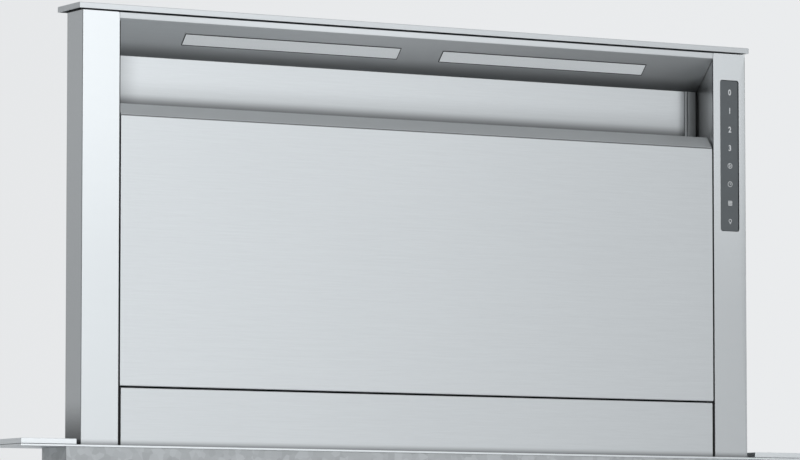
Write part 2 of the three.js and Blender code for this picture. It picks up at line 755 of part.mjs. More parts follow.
// the back and both sides, folded from one sheet
function housingShell() {
  const z = [housingBottom, housingTop];
  const sideY = [betweenWallsY[0], wallOuterBack];
  return join(
    block([-wallOuterX, wallOuterX], [wallBack, wallOuterBack], z),
    block(span(-1, wallX, wallOuterX), sideY, z),
    block(span(1, wallX, wallOuterX), sideY, z),
  );
}

function housingFloor() {
  return block(
    widened([-wallX, wallX], -GAP), betweenWallsY, [housingBottom, housingBottom + SHEET]);
}

add(housing, 'housing_front', housingFront(), 'galvanised');
add(housing, 'housing_shell', housingShell(), 'galvanised');
add(housing, 'housing_floor', housingFloor(), 'galvanised');

// ---------------------------------------------------------------- lift

const pulleyZ = [plateBottom - PULLEY_BELOW_PLATE - PULLEY_HEIGHT, plateBottom - PULLEY_BELOW_PLATE];
const bracketTop = pulleyZ[0] - MOTOR_BRACKET_DROP;
const couplingBottom = bracketTop + COUPLING_ABOVE_BRACKET;
const couplingZ = [couplingBottom, couplingBottom + COUPLING_HEIGHT];
const motorTop = bracketTop - MOTOR_BRACKET_THICKNESS - GAP;

// a T-shaped rail on the housing's side wall
function guideRail(side) {
  const z = [loweredBottom - RAIL_BELOW_LOWERED, -RAIL_TOP_BELOW_WORKTOP];
  const foot = span(side, wallX - GAP - SHEET, wallX - GAP);
  const web = span(side, railInner, wallX - GAP - SHEET / 2);
  return join(
    block(foot, widened([railY, railY], RAIL_WIDTH / 2), z),
    block(web, widened([railY, railY], RAIL_WEB / 2), z),
  );
}

function drivePlate() {
  const z = [plateBottom, plateTop];
  const holes = [-1, 1].map(
    (side) => rod('Z', [side * screwX, screwY], SCREW_RADIUS + RUNNING_ROOM, widened(z, PAST)));
  return cut(
    block(widened([-wallX, wallX], -GAP), betweenWallsY, z),
    block(
      widened([-inner, inner], -BEARING_WIDTH / 2),
      widened([wallFront, wallBack], -BASE_RIM),
      widened(z, PAST),
    ),
    ...holes,
  );
}

function screwBearing(side) {
  const x = side * screwX;
  const z = [plateTop + GAP, plateTop + GAP + BEARING_HEIGHT];
  const body = join(
    block(
      widened([x, x], BEARING_WIDTH / 2),
      widened([screwY, screwY], BEARING_DEPTH / 2),
      [z[0], z[0] + BEARING_FLANGE],
    ),
    rod('Z', [x, screwY], BEARING_BOSS_RADIUS, z),
  );
  return cut(body, rod('Z', [x, screwY], SCREW_RADIUS + RUNNING_ROOM, widened(z, PAST)));
}

// screw with its toothed pulley; the right one also has the coupling to the motor
function leadScrew(side) {
  const centre = [side * screwX, screwY];
  const screw = join(
    rod('Z', centre, SCREW_RADIUS, [pulleyZ[0] - SCREW_BELOW_PULLEY, -SCREW_TOP_BELOW_WORKTOP]),
    rod('Z', centre, PULLEY_RADIUS, pulleyZ, 28),
  );
  if (side < 0) return screw;
  return join(
    screw,
    rod('Z', centre, COUPLING_RADIUS, couplingZ),
    rod('Z', centre, MOTOR_SHAFT_RADIUS, [couplingZ[0] - MOTOR_SHAFT_LENGTH, couplingZ[1]], 12),
  );
}

// a toothed belt around both pulleys
function driveBelt() {
  const loop = (radius, z) => {
    const shape = new THREE.Shape();
    shape.absarc(screwX, screwY, radius, -Math.PI / 2, Math.PI / 2);
    shape.absarc(-screwX, screwY, radius, Math.PI / 2, Math.PI * 1.5);
    return prism('Z', shape, z);
  };
  const middle = (pulleyZ[0] + pulleyZ[1]) / 2;
  const z = [middle - BELT_WIDTH / 2, middle + BELT_WIDTH / 2];
  return cut(
    loop(PULLEY_RADIUS + GAP + BELT_THICKNESS, z),
    loop(PULLEY_RADIUS + GAP, widened(z, PAST)),
  );
}

function motorBracket() {
  const z = [bracketTop - MOTOR_BRACKET_THICKNESS, bracketTop];
  const x = [wallX - GAP - MOTOR_BRACKET_WIDTH, wallX - GAP];
  const plate = block(x, betweenWallsY, z);
  const upstand = block(
    [x[1] - MOTOR_BRACKET_THICKNESS, x[1]], betweenWallsY, [z[0], z[1] + MOTOR_BRACKET_UPSTAND]);
  const hole = rod('Z', [screwX, screwY], MOTOR_SHAFT_RADIUS + MOTOR_SHAFT_ROOM, widened(z, PAST));
  return cut(join(plate, upstand), hole);
}

function liftMotor() {
  const centre = [screwX, screwY];
  const gearboxBottom = motorTop - GEARBOX_LENGTH;
  const bottom = motorTop - MOTOR_LENGTH;
  const body = join(
    rod('Z', centre, MOTOR_RADIUS, [gearboxBottom, motorTop], 28),
    rod('Z', centre, MOTOR_RADIUS - GEARBOX_STEP, [bottom, gearboxBottom + PAST], 28),
    rod('Z', centre, MOTOR_RADIUS / 2, [bottom - MOTOR_END_CAP, bottom + PAST]),
  );
  const bore = [motorTop - MOTOR_SHAFT_LENGTH, motorTop + PAST];
  return cut(body, rod('Z', centre, MOTOR_SHAFT_RADIUS + GAP, bore, 12));
}

// a strip with a switch where the tower stops at the top and one where it stops at the bottom
function limitSwitchStrip() {
  const body = span(-1, wallX - GAP - SWITCH_BODY, wallX - GAP);
  const lever = span(-1, wallX - GAP - SWITCH_BODY - SWITCH_LEVER, wallX - GAP - SWITCH_BODY + PAST);
  const y = [SWITCH_FRONT, SWITCH_FRONT + SWITCH_DEPTH];
  const strip = block(span(-1, wallX - GAP - SHEET, wallX - GAP), y,
    widened([loweredBottom, towerBottom], SWITCH_HEIGHT / 2));
  const switches = [towerBottom, loweredBottom].flatMap((z) => [
    block(body, y, widened([z, z], SWITCH_HEIGHT / 2)),
    block(lever, widened(y, -SWITCH_LEVER_INSET), widened([z, z], SWITCH_HEIGHT / 4)),
  ]);
  return join(strip, ...switches);
}

for (const [name, side] of SIDES) {
  add(housing, `guide_rail_${name}`, guideRail(side), 'aluminium');
}
add(housing, 'drive_plate', drivePlate(), 'galvanised');
for (const [name, side] of SIDES) {
  add(housing, `screw_bearing_${name}`, screwBearing(side), 'black_plastic');
  add(housing, `lead_screw_${name}`, leadScrew(side), 'machined_steel');
}
add(housing, 'drive_belt', driveBelt(), 'rubber');
add(housing, 'motor_bracket', motorBracket(), 'galvanised');
add(housing, 'lift_motor', liftMotor(), 'black_plastic');
add(housing, 'limit_switch_strip', limitSwitchStrip(), 'black_plastic');

// ---------------------------------------------------------------- blower

const boxX = [-BLOWER_BOX_WIDTH / 2, BLOWER_BOX_WIDTH / 2];
const boxBack = wallOuterFront - GAP;
const boxFront = boxBack - BLOWER_BOX_DEPTH;
const boxZ = [housingBottom, housingBottom + BLOWER_BOX_HEIGHT];
const scrollBack = boxBack - SCROLL_BACK_ROOM;
const scrollY = [scrollBack - SCROLL_DEPTH, scrollBack];
const scrollEnd = boxX[1] - SHEET - GAP;
const outletY = (scrollY[0] + scrollY[1]) / 2;
const outletZ = fanZ + SCROLL_LARGE_RADIUS / 2;

// an open-fronted sheet box with a window to the housing and a round outlet on the right
function blowerBox() {
  return cut(
    block(boxX, [boxFront, boxBack], boxZ),
    block(widened(boxX, -SHEET), [boxFront - PAST, boxBack - SHEET], widened(boxZ, -SHEET)),
    block(windowX, [boxBack - SHEET - PAST, boxBack + PAST], windowZ),
    rod('X', [outletY, outletZ], COLLAR_RADIUS - SHEET, [boxX[1] - SHEET - PAST, boxX[1] + PAST], 40),
  );
}

function blowerCover() {
  return block(boxX, [boxFront - GAP - SHEET, boxFront - GAP], boxZ);
}

// a spiral that widens from the tongue round to the outlet, drawn in X and Z
function scrollOutline(wall, end) {
  const points = [];
  for (let i = 0; i <= SCROLL_STEPS; i += 1) {
    const share = i / SCROLL_STEPS;
    const angle = -share * SCROLL_TURN;
    const radius = SCROLL_SMALL_RADIUS + share * (SCROLL_LARGE_RADIUS - SCROLL_SMALL_RADIUS) - wall;
    points.push([SCROLL_CENTRE_X + radius * Math.cos(angle), fanZ + radius * Math.sin(angle)]);
  }
  points.push([end, fanZ + SCROLL_LARGE_RADIUS - wall], [end, fanZ + wall]);
  if (wall > 0) points.push([SCROLL_CENTRE_X + SCROLL_SMALL_RADIUS - wall, fanZ + wall]);
  return polygon(points);
}

function blowerScroll() {
  const centre = [SCROLL_CENTRE_X, fanZ];
  return cut(
    prism('Y', scrollOutline(0, scrollEnd), scrollY),
    prism('Y', scrollOutline(SCROLL_WALL, scrollEnd + PAST), widened(scrollY, -SCROLL_WALL)),
    rod('Y', centre, INLET_RADIUS, [scrollY[1] - SCROLL_WALL - PAST, scrollY[1] + PAST], 36),
    rod('Y', centre, MOTOR_HOLE_RADIUS, [scrollY[0] - PAST, scrollY[0] + SCROLL_WALL + PAST], 24),
  );
}

const wheelY = [scrollBack - WHEEL_INLET_ROOM - WHEEL_DEPTH, scrollBack - WHEEL_INLET_ROOM];
const fanMotorY = [scrollY[0] - GAP - FAN_MOTOR_LENGTH, scrollY[0] - GAP];

// a squirrel-cage wheel: plate, rim ring, tilted blades, hub and shaft
function blowerWheel() {
  const centre = [SCROLL_CENTRE_X, fanZ];
  const rimY = [wheelY[1] - WHEEL_PLATE, wheelY[1]];
  const hub = rod('Y', centre, HUB_RADIUS, [wheelY[0], wheelY[0] + HUB_LENGTH]);
  const shaftY = [fanMotorY[1] - FAN_SHAFT_IN_MOTOR, wheelY[0] + PAST];
  const shaft = rod('Y', centre, FAN_SHAFT_RADIUS, shaftY, 12);
  const plate = rod('Y', centre, WHEEL_RADIUS, [wheelY[0], wheelY[0] + WHEEL_PLATE], 48);
  const rim = cut(
    rod('Y', centre, WHEEL_RADIUS, rimY, 48),
    rod('Y', centre, WHEEL_RADIUS - BLADE_CHORD, widened(rimY, PAST), 48),
  );
  const bladeLength = WHEEL_DEPTH - WHEEL_PLATE;
  const middle = (wheelY[0] + wheelY[1]) / 2;
  let wheel = join(plate, rim, hub, shaft);
  for (let i = 0; i < BLADE_COUNT; i += 1) {
    const turn = (i / BLADE_COUNT) * Math.PI * 2;
    const blade = new THREE.BoxGeometry(BLADE_CHORD - BLADE_THICKNESS * 2, bladeLength, BLADE_THICKNESS);
    blade.rotateY(BLADE_TILT);
    blade.translate(WHEEL_RADIUS - BLADE_CHORD / 2, 0, 0);
    blade.rotateY(turn);
    blade.translate(SCROLL_CENTRE_X, middle, fanZ);
    wheel = wheel.add(solidOf(blade));
  }
  return wheel;
}

function blowerMotor() {
  const centre = [SCROLL_CENTRE_X, fanZ];
  const body = join(
    rod('Y', centre, FAN_MOTOR_RADIUS, fanMotorY, 36),
    rod('Y', centre, FAN_MOTOR_CAP_RADIUS, [fanMotorY[0] - FAN_MOTOR_CAP_LENGTH, fanMotorY[0] + PAST], 28),
  );
  return cut(body, rod('Y', centre, FAN_SHAFT_RADIUS + GAP,
    [fanMotorY[1] - FAN_SHAFT_IN_MOTOR - PAST, fanMotorY[1] + PAST], 12));
}

const collarX = [boxX[1] + GAP, boxX[1] + GAP + COLLAR_LENGTH];
const damperX = collarX[0] + DAMPER_FROM_FLANGE;
const collarBore = COLLAR_RADIUS - SHEET;

// a round duct collar with a flange and the dampers' upright pin
function outletCollar() {
  const centre = [outletY, outletZ];
  const shell = join(
    rod('X', centre, COLLAR_RADIUS, collarX, 48),
    rod('X', centre, COLLAR_RADIUS + COLLAR_FLANGE, [collarX[0], collarX[0] + SHEET], 48),
  );
  const pinZ = widened([outletZ, outletZ], collarBore + SHEET / 2);
  const pin = rod('Z', [damperX, outletY], DAMPER_PIN_RADIUS, pinZ, 12);
  return join(cut(shell, rod('X', centre, collarBore, widened(collarX, PAST), 48)), pin);
}

// one of two half discs that swing outwards on the upright pin
function damperFlap(side) {
  const radius = collarBore - DAMPER_ROOM;
  const disc = rod('X', [outletY, outletZ], radius, widened([damperX, damperX], DAMPER_THICKNESS / 2), 40);
  const edge = DAMPER_PIN_RADIUS + GAP;
  const keepY = span(side, edge, radius + PAST).map((y) => outletY + y);
  const keepZ = widened([outletZ, outletZ], radius + PAST);
  return disc.intersect(block(widened([damperX, damperX], DAMPER_THICKNESS), keepY, keepZ));
}

add(housing, 'blower_box', blowerBox(), 'galvanised');
add(housing, 'blower_cover', blowerCover(), 'galvanised');
add(housing, 'blower_scroll', blowerScroll(), 'galvanised');
add(housing, 'blower_wheel', blowerWheel(), 'aluminium');
add(housing, 'blower_motor', blowerMotor(), 'black_plastic');
add(housing, 'outlet_collar', outletCollar(), 'galvanised');
add(housing, 'damper_flap_front', damperFlap(-1), 'aluminium');
add(housing, 'damper_flap_rear', damperFlap(1), 'aluminium');

// ---------------------------------------------------------------- electronics

const electronicsLeft = -wallOuterX + ELECTRONICS_FROM_END;
const electronicsX = [electronicsLeft, electronicsLeft + ELECTRONICS_WIDTH];
const electronicsZ = [-ELECTRONICS_TOP - ELECTRONICS_HEIGHT, -ELECTRONICS_TOP];
const electronicsFront = boxBack - ELECTRONICS_DEPTH;
const glandPlace = [(electronicsX[0] + electronicsX[1]) / 2, (electronicsFront + boxBack) / 2];
const glandTop = electronicsZ[0] - GAP;

function electronicsBox() {
  return cut(
    block(electronicsX, [electronicsFront, boxBack], electronicsZ),
    block(
      widened(electronicsX, -SHEET),
      [electronicsFront - PAST, boxBack - SHEET],
      widened(electronicsZ, -SHEET),
    ),
    rod('Z', glandPlace, GLAND_BORE, [glandTop - PAST, electronicsZ[0] + SHEET + PAST], 16),
  );
}

function electronicsCover() {
  return block(electronicsX, [electronicsFront - GAP - SHEET, electronicsFront - GAP], electronicsZ);
}

// the board with its transformer, capacitor and terminal block, on four posts
function circuitBoard() {
  const back = boxBack - SHEET - GAP;
  const board = [back - BOARD_STANDOFF - BOARD_THICKNESS, back - BOARD_STANDOFF];
  const x = widened(electronicsX, -BOARD_INSET);
  const z = widened(electronicsZ, -BOARD_INSET);
  const face = board[0] + GAP;
  const posts = widened(x, -BOARD_INSET).flatMap((postX) => widened(z, -BOARD_INSET).map(
    (postZ) => rod('Y', [postX, postZ], BOARD_POST_RADIUS, [face, back], 10)));
  const partX = x[0] + BOARD_PART_INSET;
  const partZ = z[0] + BOARD_PART_INSET;
  const transformer = block(
    [partX, partX + TRANSFORMER_WIDTH],
    [face - TRANSFORMER_DEPTH, face],
    [partZ, partZ + TRANSFORMER_HEIGHT],
  );
  const capacitor = rod('Y', [x[1] - CAPACITOR_FROM_END, z[0] + CAPACITOR_UP], CAPACITOR_RADIUS,
    [face - CAPACITOR_LENGTH, face]);
  const terminalsTop = z[1] - TERMINALS_DOWN;
  const terminals = block(
    widened(x, -TERMINALS_INSET),
    [face - TERMINALS_DEPTH, face],
    [terminalsTop - TERMINALS_HEIGHT, terminalsTop],
  );
  return join(block(x, board, z), ...posts, transformer, capacitor, terminals);
}

function cableGland() {
  const body = join(
    rod('Z', glandPlace, GLAND_RADIUS, [glandTop - GLAND_LENGTH / 2, glandTop], 6),
    rod('Z', glandPlace, GLAND_NECK_RADIUS, [glandTop - GLAND_LENGTH, glandTop - PAST]),
  );
  return cut(body, rod('Z', glandPlace, GLAND_BORE, widened([glandTop - GLAND_LENGTH, glandTop], PAST), 16));
}

add(housing, 'electronics_box', electronicsBox(), 'galvanised');
add(housing, 'electronics_cover', electronicsCover(), 'galvanised');
add(housing, 'circuit_board', circuitBoard(), 'circuit_green');
add(housing, 'cable_gland', cableGland(), 'black_plastic');

// ---------------------------------------------------------------- clamps and legs

const sideFace = wallOuterX + GAP;
const clampTop = -WORKTOP_THICKNESS;

// an angle that pulls up against the underside of the worktop
function worktopClamp(side) {
  const y = widened([railY, railY], CLAMP_WIDTH / 2);
  return join(
    block(span(side, sideFace, sideFace + CLAMP_SHEET), y, [clampTop - CLAMP_DROP, clampTop]),
    block(span(side, sideFace, sideFace + CLAMP_REACH), y, [clampTop - CLAMP_SHEET, clampTop]),
  );
}

const legY = [wallOuterBack - LEG_WIDTH, wallOuterBack];
const boltY = (legY[0] + legY[1]) / 2;

// a plate with two slots, a gusset forward to its toe, an outward foot and two pads
function leg(side) {
  const x = span(side, sideFace, sideFace + LEG_SHEET);
  const sole = floorZ + PAD_HEIGHT;
  const top = housingBottom + LEG_ABOVE_FLOOR;
  const toe = -LEG_FOOT_REACH;
  const plate = prism('X', polygon([
    [legY[1], top], [legY[1], sole], [toe, sole], [toe, sole + LEG_TOE],
    [legY[0], housingBottom + LEG_GUSSET], [legY[0], top],
  ].reverse()), x);
  const footX = span(side, sideFace, sideFace + LEG_FOOT_WIDTH);
  const foot = block(footX, [toe, legY[1]], [sole, sole + LEG_SHEET]);
  const padX = side * (sideFace + LEG_FOOT_WIDTH / 2);
  const pads = [toe + PAD_RADIUS, legY[1] - PAD_RADIUS].map(
    (y) => rod('Z', [padX, y], PAD_RADIUS, [floorZ, sole + LEG_SHEET / 2]));
  const slotHalf = BOLT_RADIUS + GAP;
  const slots = LEG_BOLTS_UP.map((up) => block(widened(x, PAST), widened([boltY, boltY], slotHalf),
    [housingBottom + up - slotHalf, housingBottom + up + LEG_TRAVEL + slotHalf]));
  return cut(join(plate, foot, ...pads), ...slots);
}

for (const [name, side] of SIDES) {
  add(housing, `worktop_clamp_${name}`, worktopClamp(side), 'galvanised');
  add(housing, `leg_${name}`, leg(side), 'galvanised');
}

export default vent;
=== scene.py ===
"""Finishes, soft edges and small parts for a retractable downdraft vent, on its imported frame.

Metres, +Z up. The tower stands raised and its front faces -Y. Lengths that come with a
millimetre in a drawing are written as a number times MM. In the tables of places the numbers are
plain millimetres, which the piece's own function turns into metres.
"""

import json
import math

import bmesh
import bpy
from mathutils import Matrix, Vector

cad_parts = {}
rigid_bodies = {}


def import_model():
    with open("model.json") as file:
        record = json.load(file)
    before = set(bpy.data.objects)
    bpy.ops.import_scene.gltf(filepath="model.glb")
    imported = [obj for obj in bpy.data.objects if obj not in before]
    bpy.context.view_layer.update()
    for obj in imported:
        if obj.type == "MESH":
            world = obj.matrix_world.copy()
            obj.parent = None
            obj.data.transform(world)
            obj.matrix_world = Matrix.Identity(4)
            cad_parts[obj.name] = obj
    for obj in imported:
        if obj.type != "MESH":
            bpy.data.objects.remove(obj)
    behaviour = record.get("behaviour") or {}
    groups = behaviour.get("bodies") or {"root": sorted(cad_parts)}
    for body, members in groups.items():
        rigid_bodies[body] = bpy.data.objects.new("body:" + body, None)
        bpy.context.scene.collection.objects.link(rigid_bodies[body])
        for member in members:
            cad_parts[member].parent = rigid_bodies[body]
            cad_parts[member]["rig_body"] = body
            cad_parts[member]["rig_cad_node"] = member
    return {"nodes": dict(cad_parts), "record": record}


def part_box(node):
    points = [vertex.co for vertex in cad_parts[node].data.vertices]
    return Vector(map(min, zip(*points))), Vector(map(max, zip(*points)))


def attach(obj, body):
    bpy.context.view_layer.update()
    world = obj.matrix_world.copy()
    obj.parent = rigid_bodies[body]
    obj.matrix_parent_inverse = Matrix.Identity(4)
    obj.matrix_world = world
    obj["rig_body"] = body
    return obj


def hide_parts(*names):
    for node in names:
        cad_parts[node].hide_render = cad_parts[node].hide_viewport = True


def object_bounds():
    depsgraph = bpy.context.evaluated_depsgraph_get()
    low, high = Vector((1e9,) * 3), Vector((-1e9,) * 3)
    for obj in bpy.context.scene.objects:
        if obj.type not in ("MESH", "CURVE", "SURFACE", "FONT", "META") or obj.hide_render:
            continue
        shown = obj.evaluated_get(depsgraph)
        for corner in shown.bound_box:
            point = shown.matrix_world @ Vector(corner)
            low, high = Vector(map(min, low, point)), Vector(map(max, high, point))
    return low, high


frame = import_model()
cad_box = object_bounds()
cad = frame["nodes"]
MM = 0.001
SIDES = {"left": -1, "right": 1}


# ------------------------------------------------------------------ selecting and modelling


def only(piece):
    """Leaves one piece selected and active, in object mode."""
    if bpy.context.object and bpy.context.object.mode != "OBJECT":
        bpy.ops.object.mode_set(mode="OBJECT")
    bpy.ops.object.select_all(action="DESELECT")
    piece.select_set(True)
    bpy.context.view_layer.objects.active = piece


def nothing():
    if bpy.context.object and bpy.context.object.mode != "OBJECT":
        bpy.ops.object.mode_set(mode="OBJECT")
    bpy.ops.object.select_all(action="DESELECT")


def settled(piece, name=None):
    """Moves a piece's place into its mesh."""
    only(piece)
    bpy.ops.object.transform_apply(location=True, rotation=True, scale=True)
    if name:
        piece.name = name
        piece.data.name = name
    return piece


def slab(name, low, high):
    """A block between two corners."""
    nothing()
    low = Vector(low)
    high = Vector(high)
    bpy.ops.mesh.primitive_cube_add(size=1, location=(low + high) / 2, scale=high - low)
    return settled(bpy.context.object, name)


def bar(name, start, end, radius, sides):
    """A round bar between two points."""
    nothing()
    start = Vector(start)
    end = Vector(end)
    along = end - start
    turn = along.to_track_quat("Z", "Y").to_euler()
    bpy.ops.mesh.primitive_cylinder_add(
        vertices=sides,
        radius=radius,
        depth=along.length,
        end_fill_type="NGON",
        location=(start + end) / 2,
        rotation=turn,
    )
    return settled(bpy.context.object, name)


def select(piece, kind, test):
    """In edit mode, selects the faces or edges that pass a test on middle and direction."""
    only(piece)
    bpy.ops.object.mode_set(mode="EDIT")
    bpy.ops.mesh.select_mode(type=kind)
    bpy.ops.mesh.select_all(action="DESELECT")
    shape = bmesh.from_edit_mesh(piece.data)
    if kind == "FACE":
        for face in shape.faces:
            face.select_set(test(face.calc_center_median(), face.normal))
    else:
        for edge in shape.edges:
            a, b = (v.co for v in edge.verts)
            edge.select_set(test((a + b) / 2, (b - a).normalized()))
    shape.select_flush_mode()
    bmesh.update_edit_mesh(piece.data)


def modify(piece, kind, **settings):
    """Adds a modifier and applies it."""
    only(piece)
    made = piece.modifiers.new(kind.title(), kind)
    for key, value in settings.items():
        setattr(made, key, value)
    bpy.ops.object.modifier_apply(modifier=made.name)
    return piece


def smooth(piece, angle=math.radians(32)):
    """Smooth shading over bends, with flat faces kept flat."""
    only(piece)
    bpy.ops.object.shade_smooth_by_angle(angle=angle)
    return modify(piece, "WEIGHTED_NORMAL", mode="FACE_AREA", weight=80, keep_sharp=True)


def eased(piece, radius, steps=2):
    """Rounds every sharp edge by a small radius."""
    modify(
        piece,
        "BEVEL",
        width=radius,
        segments=steps,
        limit_method="ANGLE",
        angle_limit=math.radians(30),
        use_clamp_overlap=True,
        loop_slide=False,
        harden_normals=False,
    )
    return smooth(piece)


def round_edges(piece, test, radius, steps=4):
    """Rounds the edges that pass a test, as a sheet's bends."""
    select(piece, "EDGE", test)
    bpy.ops.mesh.bevel(offset=radius, segments=steps, affect="EDGES", clamp_overlap=True)
    bpy.ops.object.mode_set(mode="OBJECT")
    return piece


def copy_of(node):
    """A copy of a CAD node as whole flat faces."""
    only(cad[node])
    bpy.ops.object.duplicate()
    made = bpy.context.object
    made.parent = None
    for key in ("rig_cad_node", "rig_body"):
        if key in made:
            del made[key]
    made.name = node + "_finish"
    made.data.name = made.name
    bpy.ops.object.mode_set(mode="EDIT")
    bpy.ops.mesh.select_mode(type="VERT")
    bpy.ops.mesh.select_all(action="SELECT")
    bpy.ops.mesh.remove_doubles(threshold=0.002 * MM)
    bpy.ops.mesh.dissolve_limited(angle_limit=math.radians(1))
    bpy.ops.mesh.vert_connect_concave()
    bpy.ops.object.mode_set(mode="OBJECT")
    only(made)
    bpy.ops.mesh.customdata_custom_splitnormals_clear()
    return made


def joined(name, pieces):
    """Several meshes as one object."""
    only(pieces[0])
    for piece in pieces[1:]:
        piece.select_set(True)
    if len(pieces) > 1:
        bpy.ops.object.join()
    return settled(bpy.context.object, name)


def copies(name, piece, places):
    """The piece at each place, as one object; the first model is used up."""
    made = []
    for place in places:
        only(piece)
        bpy.ops.object.duplicate()
        other = bpy.context.object
        other.location = Vector(place)
        made.append(settled(other))
    bpy.data.objects.remove(piece)
    return joined(name, made)


def outwards(piece):
    select(piece, "FACE", lambda middle, normal: True)
    bpy.ops.mesh.remove_doubles(threshold=0.001 * MM)
    bpy.ops.mesh.normals_make_consistent(inside=False)
    bpy.ops.object.mode_set(mode="OBJECT")
    return piece


FACINGS = {
    "front": (math.radians(90), 0, 0),
    "back": (math.radians(-90), 0, 0),
    "left": (0, math.radians(-90), 0),
    "right": (0, math.radians(90), 0),
    "up": (0, 0, 0),
    "down": (math.radians(180), 0, 0),
}


def faced(piece, facing):
    """Turns a piece that was made facing up."""
    piece.rotation_euler = FACINGS[facing]
    return settled(piece)


def wire(name, points, radius):
    """A bent wire through points."""
    nothing()
    bpy.ops.curve.primitive_bezier_curve_add()
    made = bpy.context.object
    made.data.splines.clear()
    spline = made.data.splines.new("BEZIER")
    spline.bezier_points.add(len(points) - 1)
    for knot, point in zip(spline.bezier_points, points):
        knot.co = point
        knot.handle_left_type = knot.handle_right_type = "AUTO"
    made.data.dimensions = "3D"
    made.data.resolution_u = 8
    made.data.bevel_depth = radius
    made.data.bevel_resolution = 3
    made.data.use_fill_caps = True
    bpy.ops.object.convert(target="MESH")
    return smooth(outwards(settled(bpy.context.object, name)))


def chain(name, points):
    """Straight edges through points, as an open outline."""
    nothing()
    bpy.ops.curve.primitive_bezier_curve_add()
    made = bpy.context.object
    made.data.splines.clear()
    spline = made.data.splines.new("POLY")
    spline.points.add(len(points) - 1)
    for knot, point in zip(spline.points, points):
        knot.co = (*point, 1)
    made.data.dimensions = "3D"
    bpy.ops.object.convert(target="MESH")
    return settled(bpy.context.object, name)


def turned(name, outline, centre, sides):
    """An outline of (radius, height) pairs spun round an upright axis into a closed solid."""
    made = chain(name, [(radius, 0, height) for radius, height in outline])
    modify(made, "SCREW", axis="Z", steps=sides, render_steps=sides, use_merge_vertices=True,
           merge_threshold=0.001 * MM)
    made.location = centre
    return outwards(settled(made))


def holed(piece, facing, border):
    """Cuts a window through a block, leaving a border round it."""
    select(piece, "FACE", lambda middle, normal: abs(normal.dot(Vector(facing))) > 0.9)
    bpy.ops.mesh.inset(thickness=border)
    bpy.ops.mesh.bridge_edge_loops()
    bpy.ops.object.mode_set(mode="OBJECT")
    return piece


def recoat(piece, finish, test):
    """Gives the faces that pass a test another finish."""
    piece.data.materials.append(finish)
    coat = len(piece.data.materials) - 1
    for face in piece.data.polygons:
        if test(face.center, face.normal):
            face.material_index = coat
    return piece


def fitted(piece, body, finish, slot, *stands_for):
    """Gives a piece its finish and its body, and hides the CAD nodes it stands for."""
    piece.data.materials.clear()
    piece.data.materials.append(finish)
    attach(piece, body)
    if stands_for:
        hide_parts(*stands_for)
    return piece


# ------------------------------------------------------------------ finishes


class Recipe:
    """A material's node tree, with short calls for the nodes that the finishes use."""

    def __init__(self, name):
        self.material = bpy.data.materials.new(name)
        self.material.use_nodes = True
        self.nodes = self.material.node_tree.nodes
        self.links = self.material.node_tree.links
        self.surface = self.nodes["Principled BSDF"]
        self.place = self.nodes.new("ShaderNodeTexCoord").outputs["Object"]

    def set(self, **sockets):
        for name, value in sockets.items():
            self.surface.inputs[name.replace("_", " ")].default_value = value

    def link(self, output, socket):
        self.links.new(output, self.surface.inputs[socket])

    def stretched(self, scale, turn=(0, 0, 0)):
        """Object coordinates scaled per axis, so that a pattern is drawn out along one."""
        mapping = self.nodes.new("ShaderNodeMapping")
        mapping.inputs["Scale"].default_value = scale
        mapping.inputs["Rotation"].default_value = turn
        self.links.new(self.place, mapping.inputs["Vector"])
        return mapping.outputs["Vector"]

    def noise(self, vector, scale=1.0, detail=3.0, roughness=0.55, distortion=0.0):
        made = self.nodes.new("ShaderNodeTexNoise")
        made.inputs["Scale"].default_value = scale
        made.inputs["Detail"].default_value = detail
        made.inputs["Roughness"].default_value = roughness
        made.inputs["Distortion"].default_value = distortion
        self.links.new(vector, made.inputs["Vector"])
        return made.outputs["Fac"]

    def cells(self, vector, scale):
        made = self.nodes.new("ShaderNodeTexVoronoi")
        made.inputs["Scale"].default_value = scale
        self.links.new(vector, made.inputs["Vector"])
        return made

    def ranged(self, value, low, high, start=0.0, end=1.0):
        made = self.nodes.new("ShaderNodeMapRange")
        made.inputs["From Min"].default_value = start
        made.inputs["From Max"].default_value = end
        made.inputs["To Min"].default_value = low
        made.inputs["To Max"].default_value = high
        self.links.new(value, made.inputs["Value"])
        return made.outputs["Result"]

    def ramp(self, value, *stops):
        """Colours at positions along a value."""
        made = self.nodes.new("ShaderNodeValToRGB")
        elements = made.color_ramp.elements
        while len(elements) < len(stops):
            elements.new(0.5)
        for element, (position, colour) in zip(elements, stops):
            element.position = position
            element.color = (*colour, 1)
        self.links.new(value, made.inputs["Fac"])
        return made.outputs["Color"]

    def maths(self, kind, a, b):
        made = self.nodes.new("ShaderNodeMath")
        made.operation = kind
        for socket, value in zip(made.inputs, (a, b)):
            if isinstance(value, (int, float)):
                socket.default_value = value
            else:
                self.links.new(value, socket)
        return made.outputs["Value"]

    def lie_along_grain(self):
        """Gives the shader a level tangent on every face, which is the way the sheet was brushed."""
        made = self.nodes.new("ShaderNodeVectorMath")
        made.operation = "CROSS_PRODUCT"
        made.inputs[0].default_value = (0, 0.05, 1)
        facing = self.nodes.new("ShaderNodeNewGeometry").outputs["Normal"]
        self.links.new(facing, made.inputs[1])
        self.link(made.outputs["Vector"], "Tangent")

    def bump(self, height, strength, distance):
        made = self.nodes.new("ShaderNodeBump")
        made.inputs["Strength"].default_value = strength
        made.inputs["Distance"].default_value = distance
        self.links.new(height, made.inputs["Height"])
        self.link(made.outputs["Normal"], "Normal")


def shade(colour, factor):
    return tuple(min(1.0, c * factor) for c in colour)


STEEL = (0.63, 0.655, 0.668)
FACE_GRAIN = (60, 1500, 1500)
MARKS_GRAIN = tuple(stretch * 0.4 for stretch in FACE_GRAIN)


